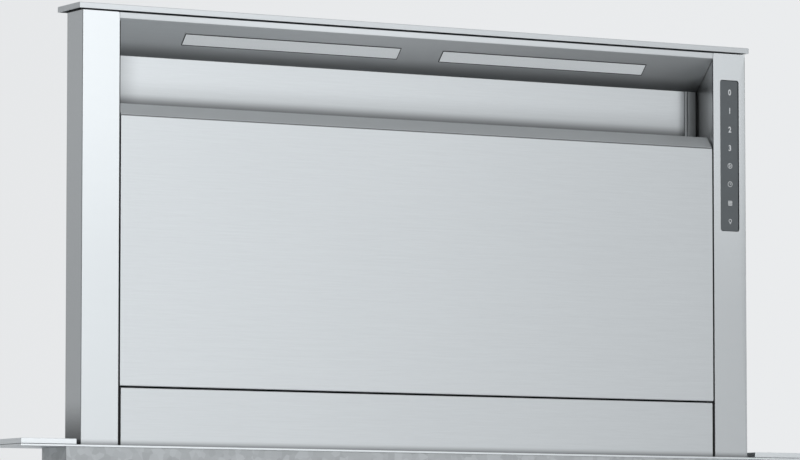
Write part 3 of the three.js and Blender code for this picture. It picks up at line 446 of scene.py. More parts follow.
def brushed(name, lightness, roughness, spread, anisotropy, *painted_shades):
    """Brushed sheet steel with fine scratches along X, whose tone varies by the spread.

    Each of the painted shades darkens the steel towards one end of an axis, as shade falling there: (axis,
    clear place, dull place, tone there), where the clear place is unshaded and the dull place the most
    shaded.
    """
    recipe = Recipe("brushed steel " + name)
    colour = shade(STEEL, lightness)
    fine = recipe.noise(recipe.stretched(FACE_GRAIN), detail=4, roughness=0.7)
    marks = recipe.noise(recipe.stretched(MARKS_GRAIN), detail=2, roughness=0.6, distortion=0.7)
    cloud = recipe.noise(recipe.place, scale=5, detail=2)
    mixed = recipe.maths("MULTIPLY_ADD", fine, 0.45)
    recipe.links.new(recipe.maths("MULTIPLY", marks, 0.55), mixed.node.inputs[2])
    tone = recipe.ramp(mixed, (0.3, shade(colour, 1 - spread)), (0.7, shade(colour, 1 + spread)))
    parts = recipe.nodes.new("ShaderNodeSeparateXYZ")
    recipe.links.new(recipe.place, parts.inputs[0])
    # painted shade: each range darkens the tone towards its dull place
    for axis, clear, dull, depth in painted_shades:
        shaded_tone = recipe.nodes.new("ShaderNodeVectorMath")
        shaded_tone.operation = "SCALE"
        recipe.links.new(tone, shaded_tone.inputs[0])
        fade = recipe.ranged(parts.outputs[axis], 1.0, depth, clear, dull)
        fade.node.interpolation_type = "SMOOTHSTEP"
        recipe.links.new(fade, shaded_tone.inputs["Scale"])
        tone = shaded_tone.outputs["Vector"]
    recipe.link(tone, "Base Color")
    wear = recipe.maths("MULTIPLY", mixed, recipe.ranged(cloud, 0.8, 1.2))
    recipe.link(recipe.ranged(wear, roughness * 0.93, roughness * 1.07, 0.3, 0.7), "Roughness")
    recipe.set(Metallic=1.0, Anisotropic=anisotropy, Anisotropic_Rotation=0.25)
    recipe.lie_along_grain()
    recipe.bump(mixed, 0.12, 0.01 * MM)
    return recipe.material


def galvanised(name, colour):
    """Zinc-coated sheet: faint crystal spangle over a dull grey."""
    recipe = Recipe(name)
    spangle = recipe.cells(recipe.place, 170)
    tone = recipe.nodes.new("ShaderNodeSeparateColor")
    recipe.links.new(spangle.outputs["Color"], tone.inputs["Color"])
    cloud = recipe.noise(recipe.place, scale=9, detail=4)
    crystals = recipe.ranged(tone.outputs["Red"], 0.0, 0.65)
    mixed = recipe.maths("ADD", crystals, recipe.ranged(cloud, 0.0, 0.35))
    recipe.link(recipe.ramp(mixed, (0.0, shade(colour, 0.88)), (1.0, shade(colour, 1.1))), "Base Color")
    recipe.link(recipe.ranged(mixed, 0.6, 0.5), "Roughness")
    recipe.set(Metallic=1.0)
    recipe.bump(mixed, 0.08, 0.03 * MM)
    return recipe.material


def mill_aluminium(name, colour, grain):
    """Bare aluminium with rolling or drawing lines."""
    recipe = Recipe(name)
    lines = recipe.noise(recipe.stretched(grain), detail=3, roughness=0.6)
    stain = recipe.noise(recipe.place, scale=14, detail=4)
    recipe.link(recipe.ramp(lines, (0.3, shade(colour, 0.9)), (0.7, shade(colour, 1.06))), "Base Color")
    recipe.link(recipe.ranged(recipe.maths("MULTIPLY", lines, stain), 0.34, 0.58, 0.1, 0.4), "Roughness")
    recipe.set(Metallic=1.0)
    recipe.bump(lines, 0.2, 0.03 * MM)
    return recipe.material


def turned_steel(name, colour):
    """Steel with fine rings round an upright axis and an oily film."""
    recipe = Recipe(name)
    rings = recipe.noise(recipe.stretched((40, 40, 5200)), detail=2)
    film = recipe.noise(recipe.place, scale=120, detail=3)
    recipe.link(recipe.ramp(film, (0.3, shade(colour, 0.78)), (0.75, shade(colour, 1.1))), "Base Color")
    recipe.link(recipe.ranged(recipe.maths("MULTIPLY", rings, film), 0.2, 0.42, 0.1, 0.4), "Roughness")
    recipe.set(Metallic=1.0)
    recipe.bump(rings, 0.3, 0.03 * MM)
    return recipe.material


def moulded(name, colour, roughness, grain=1400):
    """Moulded plastic with a fine spark-eroded grain."""
    recipe = Recipe(name)
    pits = recipe.noise(recipe.place, scale=grain, detail=2)
    cloud = recipe.noise(recipe.place, scale=30, detail=3)
    recipe.link(recipe.ramp(cloud, (0.3, shade(colour, 0.85)), (0.7, shade(colour, 1.2))), "Base Color")
    recipe.link(recipe.ranged(pits, roughness - 0.08, roughness + 0.1, 0.3, 0.7), "Roughness")
    recipe.bump(pits, 0.35, 0.05 * MM)
    return recipe.material


def enamel(name, colour):
    """Sprayed enamel with a slight orange peel."""
    recipe = Recipe(name)
    peel = recipe.noise(recipe.place, scale=420, detail=2)
    cloud = recipe.noise(recipe.place, scale=25, detail=3)
    recipe.link(recipe.ramp(cloud, (0.3, shade(colour, 0.85)), (0.7, shade(colour, 1.15))), "Base Color")
    recipe.link(recipe.ranged(peel, 0.3, 0.42, 0.3, 0.7), "Roughness")
    recipe.bump(peel, 0.3, 0.06 * MM)
    return recipe.material


def backed_glass():
    """Polished glass over a dark grey backing, with the faintest haze."""
    recipe = Recipe("control glass")
    haze = recipe.noise(recipe.place, scale=60, detail=4)
    recipe.link(
        recipe.ramp(haze, (0.3, (0.071, 0.085, 0.093)), (0.7, (0.078, 0.093, 0.102))), "Base Color")
    recipe.link(recipe.ranged(haze, 0.1, 0.17, 0.3, 0.7), "Roughness")
    recipe.set(IOR=1.5, Coat_Weight=0.3, Coat_Roughness=0.05)
    return recipe.material


def print_ink():
    recipe = Recipe("legend ink")
    grain = recipe.noise(recipe.place, scale=2600, detail=2)
    recipe.link(
        recipe.ramp(grain, (0.3, (0.66, 0.68, 0.69)), (0.7, (0.74, 0.76, 0.77))), "Base Color")
    recipe.link(recipe.ranged(grain, 0.45, 0.6), "Roughness")
    return recipe.material


def frosted_lens():
    """A frosted diffuser with fine prisms along its length."""
    recipe = Recipe("lamp lens")
    prisms = recipe.nodes.new("ShaderNodeTexWave")
    prisms.wave_type = "BANDS"
    prisms.bands_direction = "X"
    prisms.inputs["Scale"].default_value = 140
    recipe.links.new(recipe.place, prisms.inputs["Vector"])
    frost = recipe.noise(recipe.place, scale=1600, detail=2)
    recipe.link(
        recipe.ramp(frost, (0.3, (0.72, 0.745, 0.755)), (0.7, (0.78, 0.805, 0.815))), "Base Color")
    recipe.link(recipe.ranged(frost, 0.4, 0.55), "Roughness")
    recipe.set(IOR=1.49, Emission_Strength=0.08)
    recipe.surface.inputs["Emission Color"].default_value = (0.9, 0.97, 1, 1)
    height = recipe.maths("MULTIPLY_ADD", prisms.outputs["Fac"], 0.5)
    recipe.links.new(frost, height.node.inputs[2])
    recipe.bump(height, 0.3, 0.08 * MM)
    return recipe.material


def solder_mask(name, colour):
    """A board's lacquer over raised tracks."""
    recipe = Recipe(name)
    tracks = recipe.nodes.new("ShaderNodeTexBrick")
    tracks.inputs["Scale"].default_value = 150
    tracks.inputs["Mortar Size"].default_value = 0.09
    tracks.inputs["Color1"].default_value = (*shade(colour, 0.8), 1)
    tracks.inputs["Color2"].default_value = (*shade(colour, 1.1), 1)
    tracks.inputs["Mortar"].default_value = (*shade(colour, 1.7), 1)
    turned = recipe.stretched((1, 1, 1), (math.radians(90), 0, 0))
    recipe.links.new(turned, tracks.inputs["Vector"])
    recipe.link(tracks.outputs["Color"], "Base Color")
    recipe.link(recipe.ranged(tracks.outputs["Fac"], 0.35, 0.25), "Roughness")
    recipe.bump(tracks.outputs["Fac"], 0.3, 0.05 * MM)
    return recipe.material


def ribbed_rubber(name, scale):
    """Moulded rubber: matt, with faint ribs along Z."""
    recipe = Recipe(name)
    ribs = recipe.nodes.new("ShaderNodeTexWave")
    ribs.bands_direction = "Z"
    ribs.inputs["Scale"].default_value = scale
    recipe.links.new(recipe.place, ribs.inputs["Vector"])
    dust = recipe.noise(recipe.place, scale=240, detail=4)
    recipe.link(
        recipe.ramp(dust, (0.35, (0.012, 0.012, 0.013)), (0.75, (0.035, 0.035, 0.034))), "Base Color")
    recipe.link(recipe.ranged(dust, 0.62, 0.85), "Roughness")
    recipe.bump(ribs.outputs["Fac"], 0.25, 0.1 * MM)
    return recipe.material


# painted shade: darker in the last few millimetres above the base, as contact shadow at the tower's foot
FOOT_PAINTED_SHADE = ("Z", 0.0075, 0.0, 0.27)
PANEL_STEEL = brushed("panel", 1.0, 0.36, 0.04, 0.8)
LOWER_STEEL = brushed("lower panel", 0.98, 0.36, 0.04, 0.8, FOOT_PAINTED_SHADE)
# painted light: a lighter copy of the panel steel for the trim's brighter lit faces
TRIM_STEEL = brushed("trim", 1.25, 0.36, 0.04, 0.8)
# painted shade: a darker copy of the panel steel for the bevel, as the dark ceiling it reflects
BEVEL_STEEL = brushed("bevel", 0.735, 0.36, 0.03, 0.8)
# painted shade: a near-black copy of the panel steel, as the dark line along the panel's top bend
PAINTED_CREASE_SHADE = brushed("crease", 0.3, 0.36, 0.03, 0.8)
# painted shade: each column darkens towards the bottom, the right one more, as the light falls on them
COLUMN_STEEL = {
    name: brushed(name + " column", 0.94, 0.25, 0.015, 0.0, ("Z", 0.33, 0.12, painted_shade_depth), FOOT_PAINTED_SHADE)
    for name, painted_shade_depth in (("left", 0.91), ("right", 0.84))
}
# painted shade: the columns' outer sides darken towards the bottom, most near the base, as contact shadow
SIDE_STEEL = brushed(
    "column side", 1.03, 0.25, 0.015, 0.0,
    ("Z", 0.3, 0.05, 0.92), ("Z", 0.044, 0.0, 0.22), FOOT_PAINTED_SHADE)
# painted light and shade: a much lighter copy of the steel for the columns' inner walls, darkening towards
# the back corner
INSIDE_STEEL = brushed("column inside", 1.55, 0.3, 0.015, 0.0, ("Y", -0.051, -0.024, 0.25))
# painted shade: the back wall darkens towards its bottom, above the panel's top edge, and towards its left
# end
BACK_WALL_STEEL = brushed(
    "back wall", 1.0, 0.33, 0.04, 0.85,
    ("Z", 0.324, 0.298, 0.75), ("Z", 0.309, 0.298, 0.35), ("X", -0.27, -0.298, 0.68))
# painted shade: a darker copy of the steel for the strips at the wall's ends, as the dark column walls they
# reflect
WALL_END_STEEL = brushed("wall end", 0.68, 0.3, 0.02, 0.6)
# painted shade: the hood's ceiling darkens towards the back and towards the right end
HOOD_STEEL = brushed(
    "hood", 1.04, 0.33, 0.02, 0.7, ("Y", -0.037, -0.025, 0.46), ("X", -0.25, 0.3, 0.62))
# painted shade: a darker copy of the steel for the hood's front lip, darkening further towards its left end
LIP_STEEL = brushed("lip", 0.92, 0.3, 0.02, 0.6, ("X", -0.08, -0.3, 0.86))
ZINC = galvanised("galvanised sheet", (0.5, 0.52, 0.53))
ROLLED = mill_aluminium("rolled aluminium", (0.6, 0.61, 0.62), (60, 900, 900))
# painted shadow: near-black aluminium for the cap rail, which shows only in the shadow gap under the cap
CAP_GAP_SHADOW_ALUMINIUM = mill_aluminium("black aluminium painted shadow", (0.075, 0.077, 0.08), (60, 900, 900))
TURNED = turned_steel("turned steel", (0.42, 0.43, 0.44))
BOLT_ZINC = turned_steel("plated fastener", (0.56, 0.56, 0.55))
BLACK_ENAMEL = enamel("black enamel", (0.03, 0.03, 0.033))
BLACK_PLASTIC = moulded("black plastic", (0.022, 0.022, 0.024), 0.5)
WHITE_BOARD = solder_mask("white circuit board", (0.55, 0.55, 0.52))
GREEN_BOARD = solder_mask("green circuit board", (0.012, 0.1, 0.045))
GLASS = backed_glass()
INK = print_ink()
LENS = frosted_lens()
BELT = ribbed_rubber("belt rubber", 400)
PAD_RUBBER = ribbed_rubber("foot rubber", 160)
# painted shadow: near-black matt stuff for strips and faces in gaps, where only shade would be
SHADOW_BLACK = moulded("painted shadow black", (0.004, 0.004, 0.0045), 0.85, 3000)


# ------------------------------------------------------------------ finishes on the CAD nodes

NODE_FINISHES = {
    "stainless": PANEL_STEEL,
    "galvanised": ZINC,
    "aluminium": ROLLED,
    "machined_steel": TURNED,
    "motor_black": BLACK_ENAMEL,
    "black_plastic": BLACK_PLASTIC,
    "control_glass": GLASS,
    "lamp_lens": LENS,
    "led_board": WHITE_BOARD,
    "circuit_green": GREEN_BOARD,
    "belt_rubber": BELT,
}
slot_of = {part["node"]: part["material_slot"] for part in frame["record"]["subparts"]}
body_of = {}
for body_name, members in frame["record"]["behaviour"]["bodies"].items():
    for member in members:
        body_of[member] = body_name
for node, piece in cad.items():
    piece.data.materials.clear()
    piece.data.materials.append(NODE_FINISHES[slot_of[node]])


def soft_copy(node, radius, finish=None, bends=None, bend_radius=0.0, steps=2):
    """A CAD sheet or block again with rounded bends and eased edges, in its place."""
    made = copy_of(node)
    if bends:
        round_edges(made, bends, bend_radius)
    eased(made, radius, steps)
    finish = finish or NODE_FINISHES[slot_of[node]]
    return fitted(made, body_of[node], finish, slot_of[node], node)


# ------------------------------------------------------------------ tower

BEVEL_RISE = 10.5 * MM
FRONT_PANEL_INSET = 0.3 * MM
LOWER_PANEL_INSET = 1.2 * MM
EASE = 0.2 * MM
CAP_EASE = 0.25 * MM
COLUMN_EASE = 0.18 * MM
CAP_BEND = 0.8 * MM
COLUMN_BEND = 0.9 * MM
PANEL_BEND = 0.9 * MM
LIP_BEND = 0.4 * MM
COVER_BEND = 1.0 * MM
FACE_DEPTH = 1 * MM
NEAR = 0.2 * MM


def at(value, *places):
    """Whether a value is at one of the places, give or take a hair."""
    return any(abs(value - place) < NEAR for place in places)


def tower_sheets():
    """Cap, columns, panels and hood, with their bends rounded."""
    low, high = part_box("top_cap")
    soft_copy(
        "top_cap", CAP_EASE, PANEL_STEEL,
        lambda m, d: (abs(d.z) > 0.9 and at(m.x, low.x, high.x)) or at(m.z, high.z), CAP_BEND)
    for name in SIDES:
        node = "column_" + name
        low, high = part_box(node)
        column = soft_copy(
            node, COLUMN_EASE, COLUMN_STEEL[name],
            lambda m, d: abs(d.z) > 0.9 and at(m.y, low.y) and at(m.x, low.x, high.x), COLUMN_BEND)
        outer, inner = (low.x, high.x) if name == "left" else (high.x, low.x)
        # the outer side takes the steel with painted shade
        recoat(column, SIDE_STEEL, lambda middle, normal: abs(normal.x) > 0.9 and at(middle.x, outer))
        # the inner wall takes the steel with painted light and shade
        recoat(column, INSIDE_STEEL, lambda middle, normal: abs(normal.x) > 0.9 and at(middle.x, inner))
    low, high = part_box("front_panel")
    panel = soft_copy(
        "front_panel", EASE, PANEL_STEEL,
        lambda m, d: abs(d.x) > 0.9 and at(m.y, low.y), PANEL_BEND)
    face = low.y + FACE_DEPTH
    # the bevel gets the darker steel, which is painted shade
    recoat(panel, BEVEL_STEEL, lambda middle, normal: normal.z > 0.4 and middle.y > face)
    # the bend below the bevel is painted shade
    recoat(panel, PAINTED_CREASE_SHADE, lambda middle, normal: 0.08 < normal.z < 0.5 and middle.y < face)
    # the panel's bottom face is painted shadow black, darkening the seam
    recoat(panel, SHADOW_BLACK, lambda middle, normal: normal.z < -0.9 and at(middle.z, low.z))
    lower = soft_copy(
        "lower_panel", EASE, LOWER_STEEL,
        lambda m, d: abs(d.x) > 0.9 and at(m.y, low.y), PANEL_BEND)
    for piece, inset in ((panel, FRONT_PANEL_INSET), (lower, LOWER_PANEL_INSET)):
        select(piece, "FACE", lambda middle, normal: True)
        width = 1 - inset / high.x
        bpy.ops.transform.resize(value=(width, 1, 1), center_override=(0, 0, 0))
        bpy.ops.object.mode_set(mode="OBJECT")
    low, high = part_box("light_hood")
    # the hood takes the steel with painted shade
    hood = soft_copy(
        "light_hood", EASE, HOOD_STEEL,
        lambda m, d: abs(d.x) > 0.9 and at(m.y, low.y), LIP_BEND)
    # the front lip takes the steel with painted shade
    recoat(hood, LIP_STEEL, lambda middle, normal: normal.y < -0.8 and middle.y < low.y + FACE_DEPTH)
    # the back wall takes the steel with painted shade
    soft_copy("rear_wall", EASE, BACK_WALL_STEEL)
    low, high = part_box("rear_cover")
    soft_copy(
        "rear_cover", EASE, PANEL_STEEL,
        lambda m, d: abs(d.z) > 0.9 and at(m.y, high.y), COVER_BEND)
    # the cap rail is near-black as painted shadow in the gap under the cap
    soft_copy("cap_rail", EASE, CAP_GAP_SHADOW_ALUMINIUM)
    for node in ("base_frame", "drip_tray", "filter_channel", "panel_backing"):
        soft_copy(node, EASE)


# places of the black strips that are painted shadow in the gaps
SHADOW_STRIP_SETBACK = 0.45 * MM
SHADOW_STRIP_EASE = 0.1 * MM
SHADOW_STRIP_OFF_PANEL = 0.15 * MM
SHADOW_STRIP_OFF_PIN = 0.2 * MM
SHADOW_STRIP_INTO_COLUMN = 0.1 * MM
FOOT_SHADOW_STRIP_INTO_COLUMN = 0.5 * MM
SHADOW_STRIP_START = 0.2 * MM
FOOT_SHADOW_STRIP_END = 0.4 * MM
CORNER_SHADOW_STRIPS = {"left": 1.15 * MM, "right": 0.45 * MM}
CORNER_SHADOW_STRIP_DEPTH = 0.4 * MM
SHADOW_STRIP_BELOW_BEVEL = 0.5 * MM
LIP_ROOM = 7.2 * MM
SEAM_SHADOW_STRIP_DEPTHS = (2.8 * MM, 3.6 * MM)
SEAM_SHADOW_STRIP_RISE = 2 * MM


def gap_shadow_strips():
    """Black strips set back beside the panels, in the corners above them, and behind the seam: painted
    shadow that darkens these gaps.
    """
    low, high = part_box("front_panel")
    lower_low, lower_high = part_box("lower_panel")
    face = low.y + SHADOW_STRIP_SETBACK
    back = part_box("panel_pin_left")[0].y - SHADOW_STRIP_OFF_PIN
    bevel_foot = high.z - BEVEL_RISE - SHADOW_STRIP_BELOW_BEVEL
    lip_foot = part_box("light_hood")[1].z - LIP_ROOM
    foot_top = lower_high.z + FOOT_SHADOW_STRIP_END
    for name, side in SIDES.items():
        column_low, column_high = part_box("column_" + name)
        inner = column_high.x if side < 0 else column_low.x
        panel_side = side * (high.x + SHADOW_STRIP_OFF_PANEL)
        foot_side = side * (lower_high.x - LOWER_PANEL_INSET)
        # start x, end x, rear y, bottom z and top z of each strip
        runs = (
            (panel_side, inner + side * SHADOW_STRIP_INTO_COLUMN, back, lower_high.z + SHADOW_STRIP_START, bevel_foot),
            (foot_side, inner + side * FOOT_SHADOW_STRIP_INTO_COLUMN, back, lower_low.z, foot_top),
            (inner, inner - side * CORNER_SHADOW_STRIPS[name], face + CORNER_SHADOW_STRIP_DEPTH, bevel_foot, lip_foot),
        )
        strips = []
        for start, end, rear, bottom, top in runs:
            # each strip is painted shadow black in a gap where shade falls
            strip = slab("seal", (min(start, end), face, bottom), (max(start, end), rear, top))
            strips.append(eased(strip, SHADOW_STRIP_EASE))
        fitted(joined("gap_shadow_strip_" + name, strips), "tower", SHADOW_BLACK, "belt_rubber")
    near, far = (high.y + depth for depth in SEAM_SHADOW_STRIP_DEPTHS)
    seam = slab("seam_shadow_strip", (-high.x, near, lower_high.z), (high.x, far, low.z + SEAM_SHADOW_STRIP_RISE))
    fitted(eased(seam, EASE), "tower", SHADOW_BLACK, "belt_rubber")


WALL_SHEET = 1.2 * MM
WALL_END_ROOM = 0.2 * MM
WALL_END_STRIPS = ((1.3 * MM, 9.6 * MM), (10.4 * MM, 13.2 * MM))
WALL_END_DROP = 12 * MM
STRIP_FRONT = 0.9 * MM
STRIP_BACK = 0.3 * MM
STRIP_EASE = 0.12 * MM
SHADOW_SHEET_BITE = 0.1 * MM
SHADOW_SHEET_EASE = 0.05 * MM


def wall_ends():
    """The folded strips where the rear wall meets the columns, in a darker steel that is painted shade,
    over a black sheet that is painted shadow between them.
    """
    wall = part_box("rear_wall")[1]
    face = wall.y - WALL_SHEET
    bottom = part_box("front_panel")[1].z - WALL_END_DROP
    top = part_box("light_hood")[0].z
    for name, side in SIDES.items():
        end = side * (wall.x - WALL_END_ROOM)
        strips = []
        for near, far in WALL_END_STRIPS:
            xs = sorted((end - side * near, end - side * far))
            strip = slab("strip", (xs[0], face - STRIP_FRONT, bottom), (xs[1], face - STRIP_BACK, top))
            strips.append(eased(strip, STRIP_EASE))
        # the strips take the darker wall-end steel, which is painted shade
        fitted(joined("wall_end_strips_" + name, strips), "tower", WALL_END_STEEL, "stainless")
        xs = sorted((end, end - side * WALL_END_STRIPS[-1][1]))
        # the black sheet behind the strips is painted shadow in the gaps between them
        backing = slab("wall_end_shadow_sheet_" + name, (xs[0], face - STRIP_BACK, bottom),
                       (xs[1], face + SHADOW_SHEET_BITE, top))
        fitted(eased(backing, SHADOW_SHEET_EASE), "tower", SHADOW_BLACK, "belt_rubber")


tower_sheets()
gap_shadow_strips()
wall_ends()


# ------------------------------------------------------------------ trim on the worktop


TRIM_EASE = 0.25 * MM
TRIM_END_EASE = 0.5 * MM


def trim_sheets():
    # the trim gets the lighter copy of the panel steel, which is painted light
    soft_copy("trim_frame", TRIM_EASE, TRIM_STEEL)
    for name in SIDES:
        soft_copy("trim_end_" + name, TRIM_END_EASE, TRIM_STEEL, steps=3)


trim_sheets()


# ------------------------------------------------------------------ screws, beads and louvres


def pan_screw(radius):
    """A pan head with a six-sided recess, standing on Z = 0."""
    nothing()
    height = radius * 0.62
    bpy.ops.mesh.primitive_cylinder_add(
        vertices=18, radius=radius, depth=height, location=(0, 0, height / 2))
    made = settled(bpy.context.object, "pan_screw")
    select(made, "FACE", lambda middle, normal: normal.z > 0.9)
    bpy.ops.mesh.inset(thickness=radius * 0.5)
    bpy.ops.mesh.extrude_region_move(TRANSFORM_OT_translate={"value": (0, 0, -height * 0.5)})
    bpy.ops.object.mode_set(mode="OBJECT")
    round_edges(made, lambda m, d: m.z > height * 0.95 and m.xy.length > radius * 0.9, height * 0.55, 3)
    return smooth(made)


def hex_bolt(radius):
    """A six-sided head on its washer, standing on Z = 0."""
    washer = bar("washer", (0, 0, 0), (0, 0, radius * 0.25), radius * 1.6, 28)
    nothing()
    bpy.ops.mesh.primitive_cylinder_add(
        vertices=6, radius=radius, depth=radius * 0.7, location=(0, 0, radius * 0.6))
    head = settled(bpy.context.object, "head")
    select(head, "FACE", lambda middle, normal: normal.z > 0.9)
    bpy.ops.mesh.inset(thickness=radius * 0.16)
    bpy.ops.mesh.extrude_region_move(TRANSFORM_OT_translate={"value": (0, 0, radius * 0.08)})
    bpy.ops.object.mode_set(mode="OBJECT")
    return eased(joined("hex_bolt", [washer, head]), radius * 0.05)


def around(count, radius, first=0):
    """Pairs of places evenly round a circle, the first one at an angle in degrees."""
    turns = [math.radians(first + 360 / count * n) for n in range(count)]
    return [(math.cos(a) * radius, math.sin(a) * radius) for a in turns]


def screwed(name, body, facing, places, radius, head=pan_screw):
    """Screw or bolt heads at places on a face."""
    made = copies(name, faced(head(radius), facing), places)
    return fitted(made, body, BOLT_ZINC, "machined_steel")


def bead(start, end, width, height, across):
    """A rib pressed out of a sheet: a long low dome; across is the sheet's own axis, 0 to 2."""
    start = Vector(start)
    made = bar("bead", (0, 0, 0), Vector(end) - start, width / 2, 16)
    round_edges(made, lambda m, d: True, width * 0.3, 4)
    made.scale[across] = 2 * height / width
    made.location = start
    return smooth(settled(made))


def beads(name, body, runs, width, height, across, finish, slot):
    made = joined(name, [bead(start, end, width, height, across) for start, end in runs])
    return fitted(made, body, finish, slot)


def pressed_ring(name, centre, radius, width, height, body, finish, slot):
    """A round rib pressed out of a sheet that faces the front."""
    nothing()
    bpy.ops.mesh.primitive_torus_add(
        major_radius=radius, minor_radius=width / 2, major_segments=72, minor_segments=12,
        location=centre, rotation=FACINGS["front"])
    made = bpy.context.object
    made.scale.z = 2 * height / width
    return fitted(smooth(settled(made, name)), body, finish, slot)


LOUVRE_SHEET = 0.5 * MM
SLIT_PROUD = 0.1 * MM
SLIT_EASE = 0.04 * MM


def louvres(name, body, places, length, width, finish, slot):
    """Hooded slits in a sheet that faces the front, each open downwards; under each hood a thin black slab
    on the sheet is painted shade in place of the opening.
    """
    hood = bar("louvre", (-length / 2, 0, 0), (length / 2, 0, 0), width / 2, 20)
    round_edges(hood, lambda m, d: abs(d.x) < 0.5 and abs(m.x) > length * 0.49, width * 0.3, 4)
    for normal, place in (((0, 0, 1), (0, 0, 0)), ((0, 1, 0), (0, -width * 0.12, 0))):
        select(hood, "FACE", lambda middle, facing: True)
        bpy.ops.mesh.bisect(plane_co=place, plane_no=normal, clear_inner=True)
        bpy.ops.object.mode_set(mode="OBJECT")
    modify(hood, "SOLIDIFY", thickness=LOUVRE_SHEET, offset=-1)
    made = copies(name, faced(smooth(hood), "front"), places)
    fitted(made, body, finish, slot)
    # painted shade: a thin black slab stands for the dark opening under each hood
    slit = slab("slit", (-length * 0.46, -width * 0.1, 0), (length * 0.46, width * 0.35, SLIT_PROUD))
    dark = copies(name + "_slits", faced(eased(slit, SLIT_EASE), "front"), places)
    return fitted(dark, body, BLACK_PLASTIC, "black_plastic")


# ------------------------------------------------------------------ lamp lenses and control

LENS_EASE = 0.15 * MM
GASKET_WIDTH = 0.55 * MM
GASKET_PROUD = 0.12 * MM


def lens_and_gasket(name):
    """The frosted lens, with the thin dark seal round it."""
    node = "light_lens_" + name
    low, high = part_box(node)
    seal = copy_of(node)
    soft_copy(node, LENS_EASE, LENS)
    slope = (high.z - low.z) / (high.y - low.y)
    out = Vector((0, -slope, -1)).normalized()
    select(seal, "FACE", lambda middle, normal: normal.dot(out) < 0.9)
    bpy.ops.mesh.delete(type="FACE")
    select(seal, "FACE", lambda middle, normal: True)
    middle = (low + high) / 2
    long = high.x - low.x
    wide = math.hypot(high.y - low.y, high.z - low.z)
    growth = [1 + 2 * GASKET_WIDTH / size for size in (long, wide, wide)]
    bpy.ops.transform.resize(value=growth, center_override=middle)
    bpy.ops.mesh.inset(thickness=GASKET_WIDTH)
    bpy.ops.mesh.delete(type="FACE")
    bpy.ops.object.mode_set(mode="OBJECT")
    modify(seal, "SOLIDIFY", thickness=2 * GASKET_PROUD, offset=0)
    settled(seal, "lens_gasket_" + name)
    return fitted(outwards(seal), "tower", BLACK_PLASTIC, "belt_rubber")


GLASS_RECESS = 1.2 * MM
GLASS_EASE = 0.25 * MM
CONTROL_BOARD_EASE = 0.1 * MM
LEGEND_SHIFT = 0.9 * MM
FIGURE_HEIGHT = 5.5 * MM
FIGURE_NARROW = 0.88
FIGURE_WEIGHT = 0.028
FIGURE_PLACES = {"0": 338.6 * MM, "1": 321.5 * MM, "2": 304.0 * MM, "3": 286.9 * MM}
SIGN_PLACES = {"fan": 270.7 * MM, "clock": 253.7 * MM, "filter": 236.1 * MM, "lamp": 219.0 * MM}
SIGN_RADIUS = 2.3 * MM
SIGN_STROKE = 0.27 * MM
INK_DEPTH = 0.03 * MM


def figure(text):
    """One figure of the speed scale, flat, facing up, centred on the origin."""
    nothing()
    bpy.ops.object.text_add()
    made = bpy.context.object
    made.data.body = text
    made.data.align_x = "CENTER"
    made.data.align_y = "CENTER"
    made.data.extrude = 0.01
    made.data.offset = FIGURE_WEIGHT
    bpy.ops.object.convert(target="MESH")
    made = bpy.context.object
    size = FIGURE_HEIGHT / made.dimensions.y
    made.scale = (size * FIGURE_NARROW, size, INK_DEPTH / made.dimensions.z)
    return settled(made)


def hoop(radius, centre=(0, 0, 0)):
    nothing()
    bpy.ops.mesh.primitive_torus_add(
        major_radius=radius, minor_radius=SIGN_STROKE, major_segments=40, minor_segments=8, location=centre)
    return settled(bpy.context.object)


def stroke(start, end):
    return bar("stroke", (*start, 0), (*end, 0), SIGN_STROKE, 8)


def sign(kind):
    """A plain pictogram, made of round strokes that are then pressed flat."""
    r = SIGN_RADIUS
    if kind == "fan":
        made = [hoop(r)]
        for turn in range(3):
            angle = math.radians(120 * turn)
            nothing()
            bpy.ops.mesh.primitive_uv_sphere_add(
                segments=16, ring_count=8, radius=1, scale=(r * 0.36, r * 0.19, SIGN_STROKE),
                location=(math.cos(angle) * r * 0.42, math.sin(angle) * r * 0.42, 0),
                rotation=(0, 0, angle + 0.5))
            made.append(settled(bpy.context.object))
    elif kind == "clock":
        made = [hoop(r), stroke((0, 0), (0, r * 0.62)), stroke((0, 0), (r * 0.45, 0))]
    elif kind == "filter":
        made = []
        for step in (-0.85, -0.28, 0.28, 0.85):
            made.append(stroke((step * r, -0.85 * r), (step * r, 0.85 * r)))
            made.append(stroke((-0.85 * r, step * r), (0.85 * r, step * r)))
    else:
        made = [hoop(r * 0.62, (0, r * 0.3, 0))]
        for down, wide in ((-0.55, 0.34), (-0.85, 0.24)):
            made.append(stroke((-wide * r, down * r), (wide * r, down * r)))
    flat = joined("sign", made)
    flat.scale.z = INK_DEPTH / SIGN_STROKE
    return settled(flat)


def control():
    """The touch glass, its figures and signs, and the board behind it."""
    low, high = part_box("control_glass")
    glass = copy_of("control_glass")
    select(glass, "FACE", lambda middle, normal: normal.y < -0.9)
    bpy.ops.transform.translate(value=(0, GLASS_RECESS, 0))
    bpy.ops.object.mode_set(mode="OBJECT")
    fitted(eased(glass, GLASS_EASE, 3), "tower", GLASS, "control_glass", "control_glass")
    soft_copy("control_board", CONTROL_BOARD_EASE)
    middle = (low.x + high.x) / 2 + LEGEND_SHIFT
    face = low.y + GLASS_RECESS
    legends = []
    for text, up in FIGURE_PLACES.items():
        legends.append(copies("figure", faced(figure(text), "front"), [(middle, face, up)]))
    for kind, up in SIGN_PLACES.items():
        legends.append(copies("sign", faced(sign(kind), "front"), [(middle, face, up)]))
    fitted(joined("control_legends", legends), "tower", INK, "led_board")


for name in SIDES:
    lens_and_gasket(name)
control()


# ------------------------------------------------------------------ grease filters

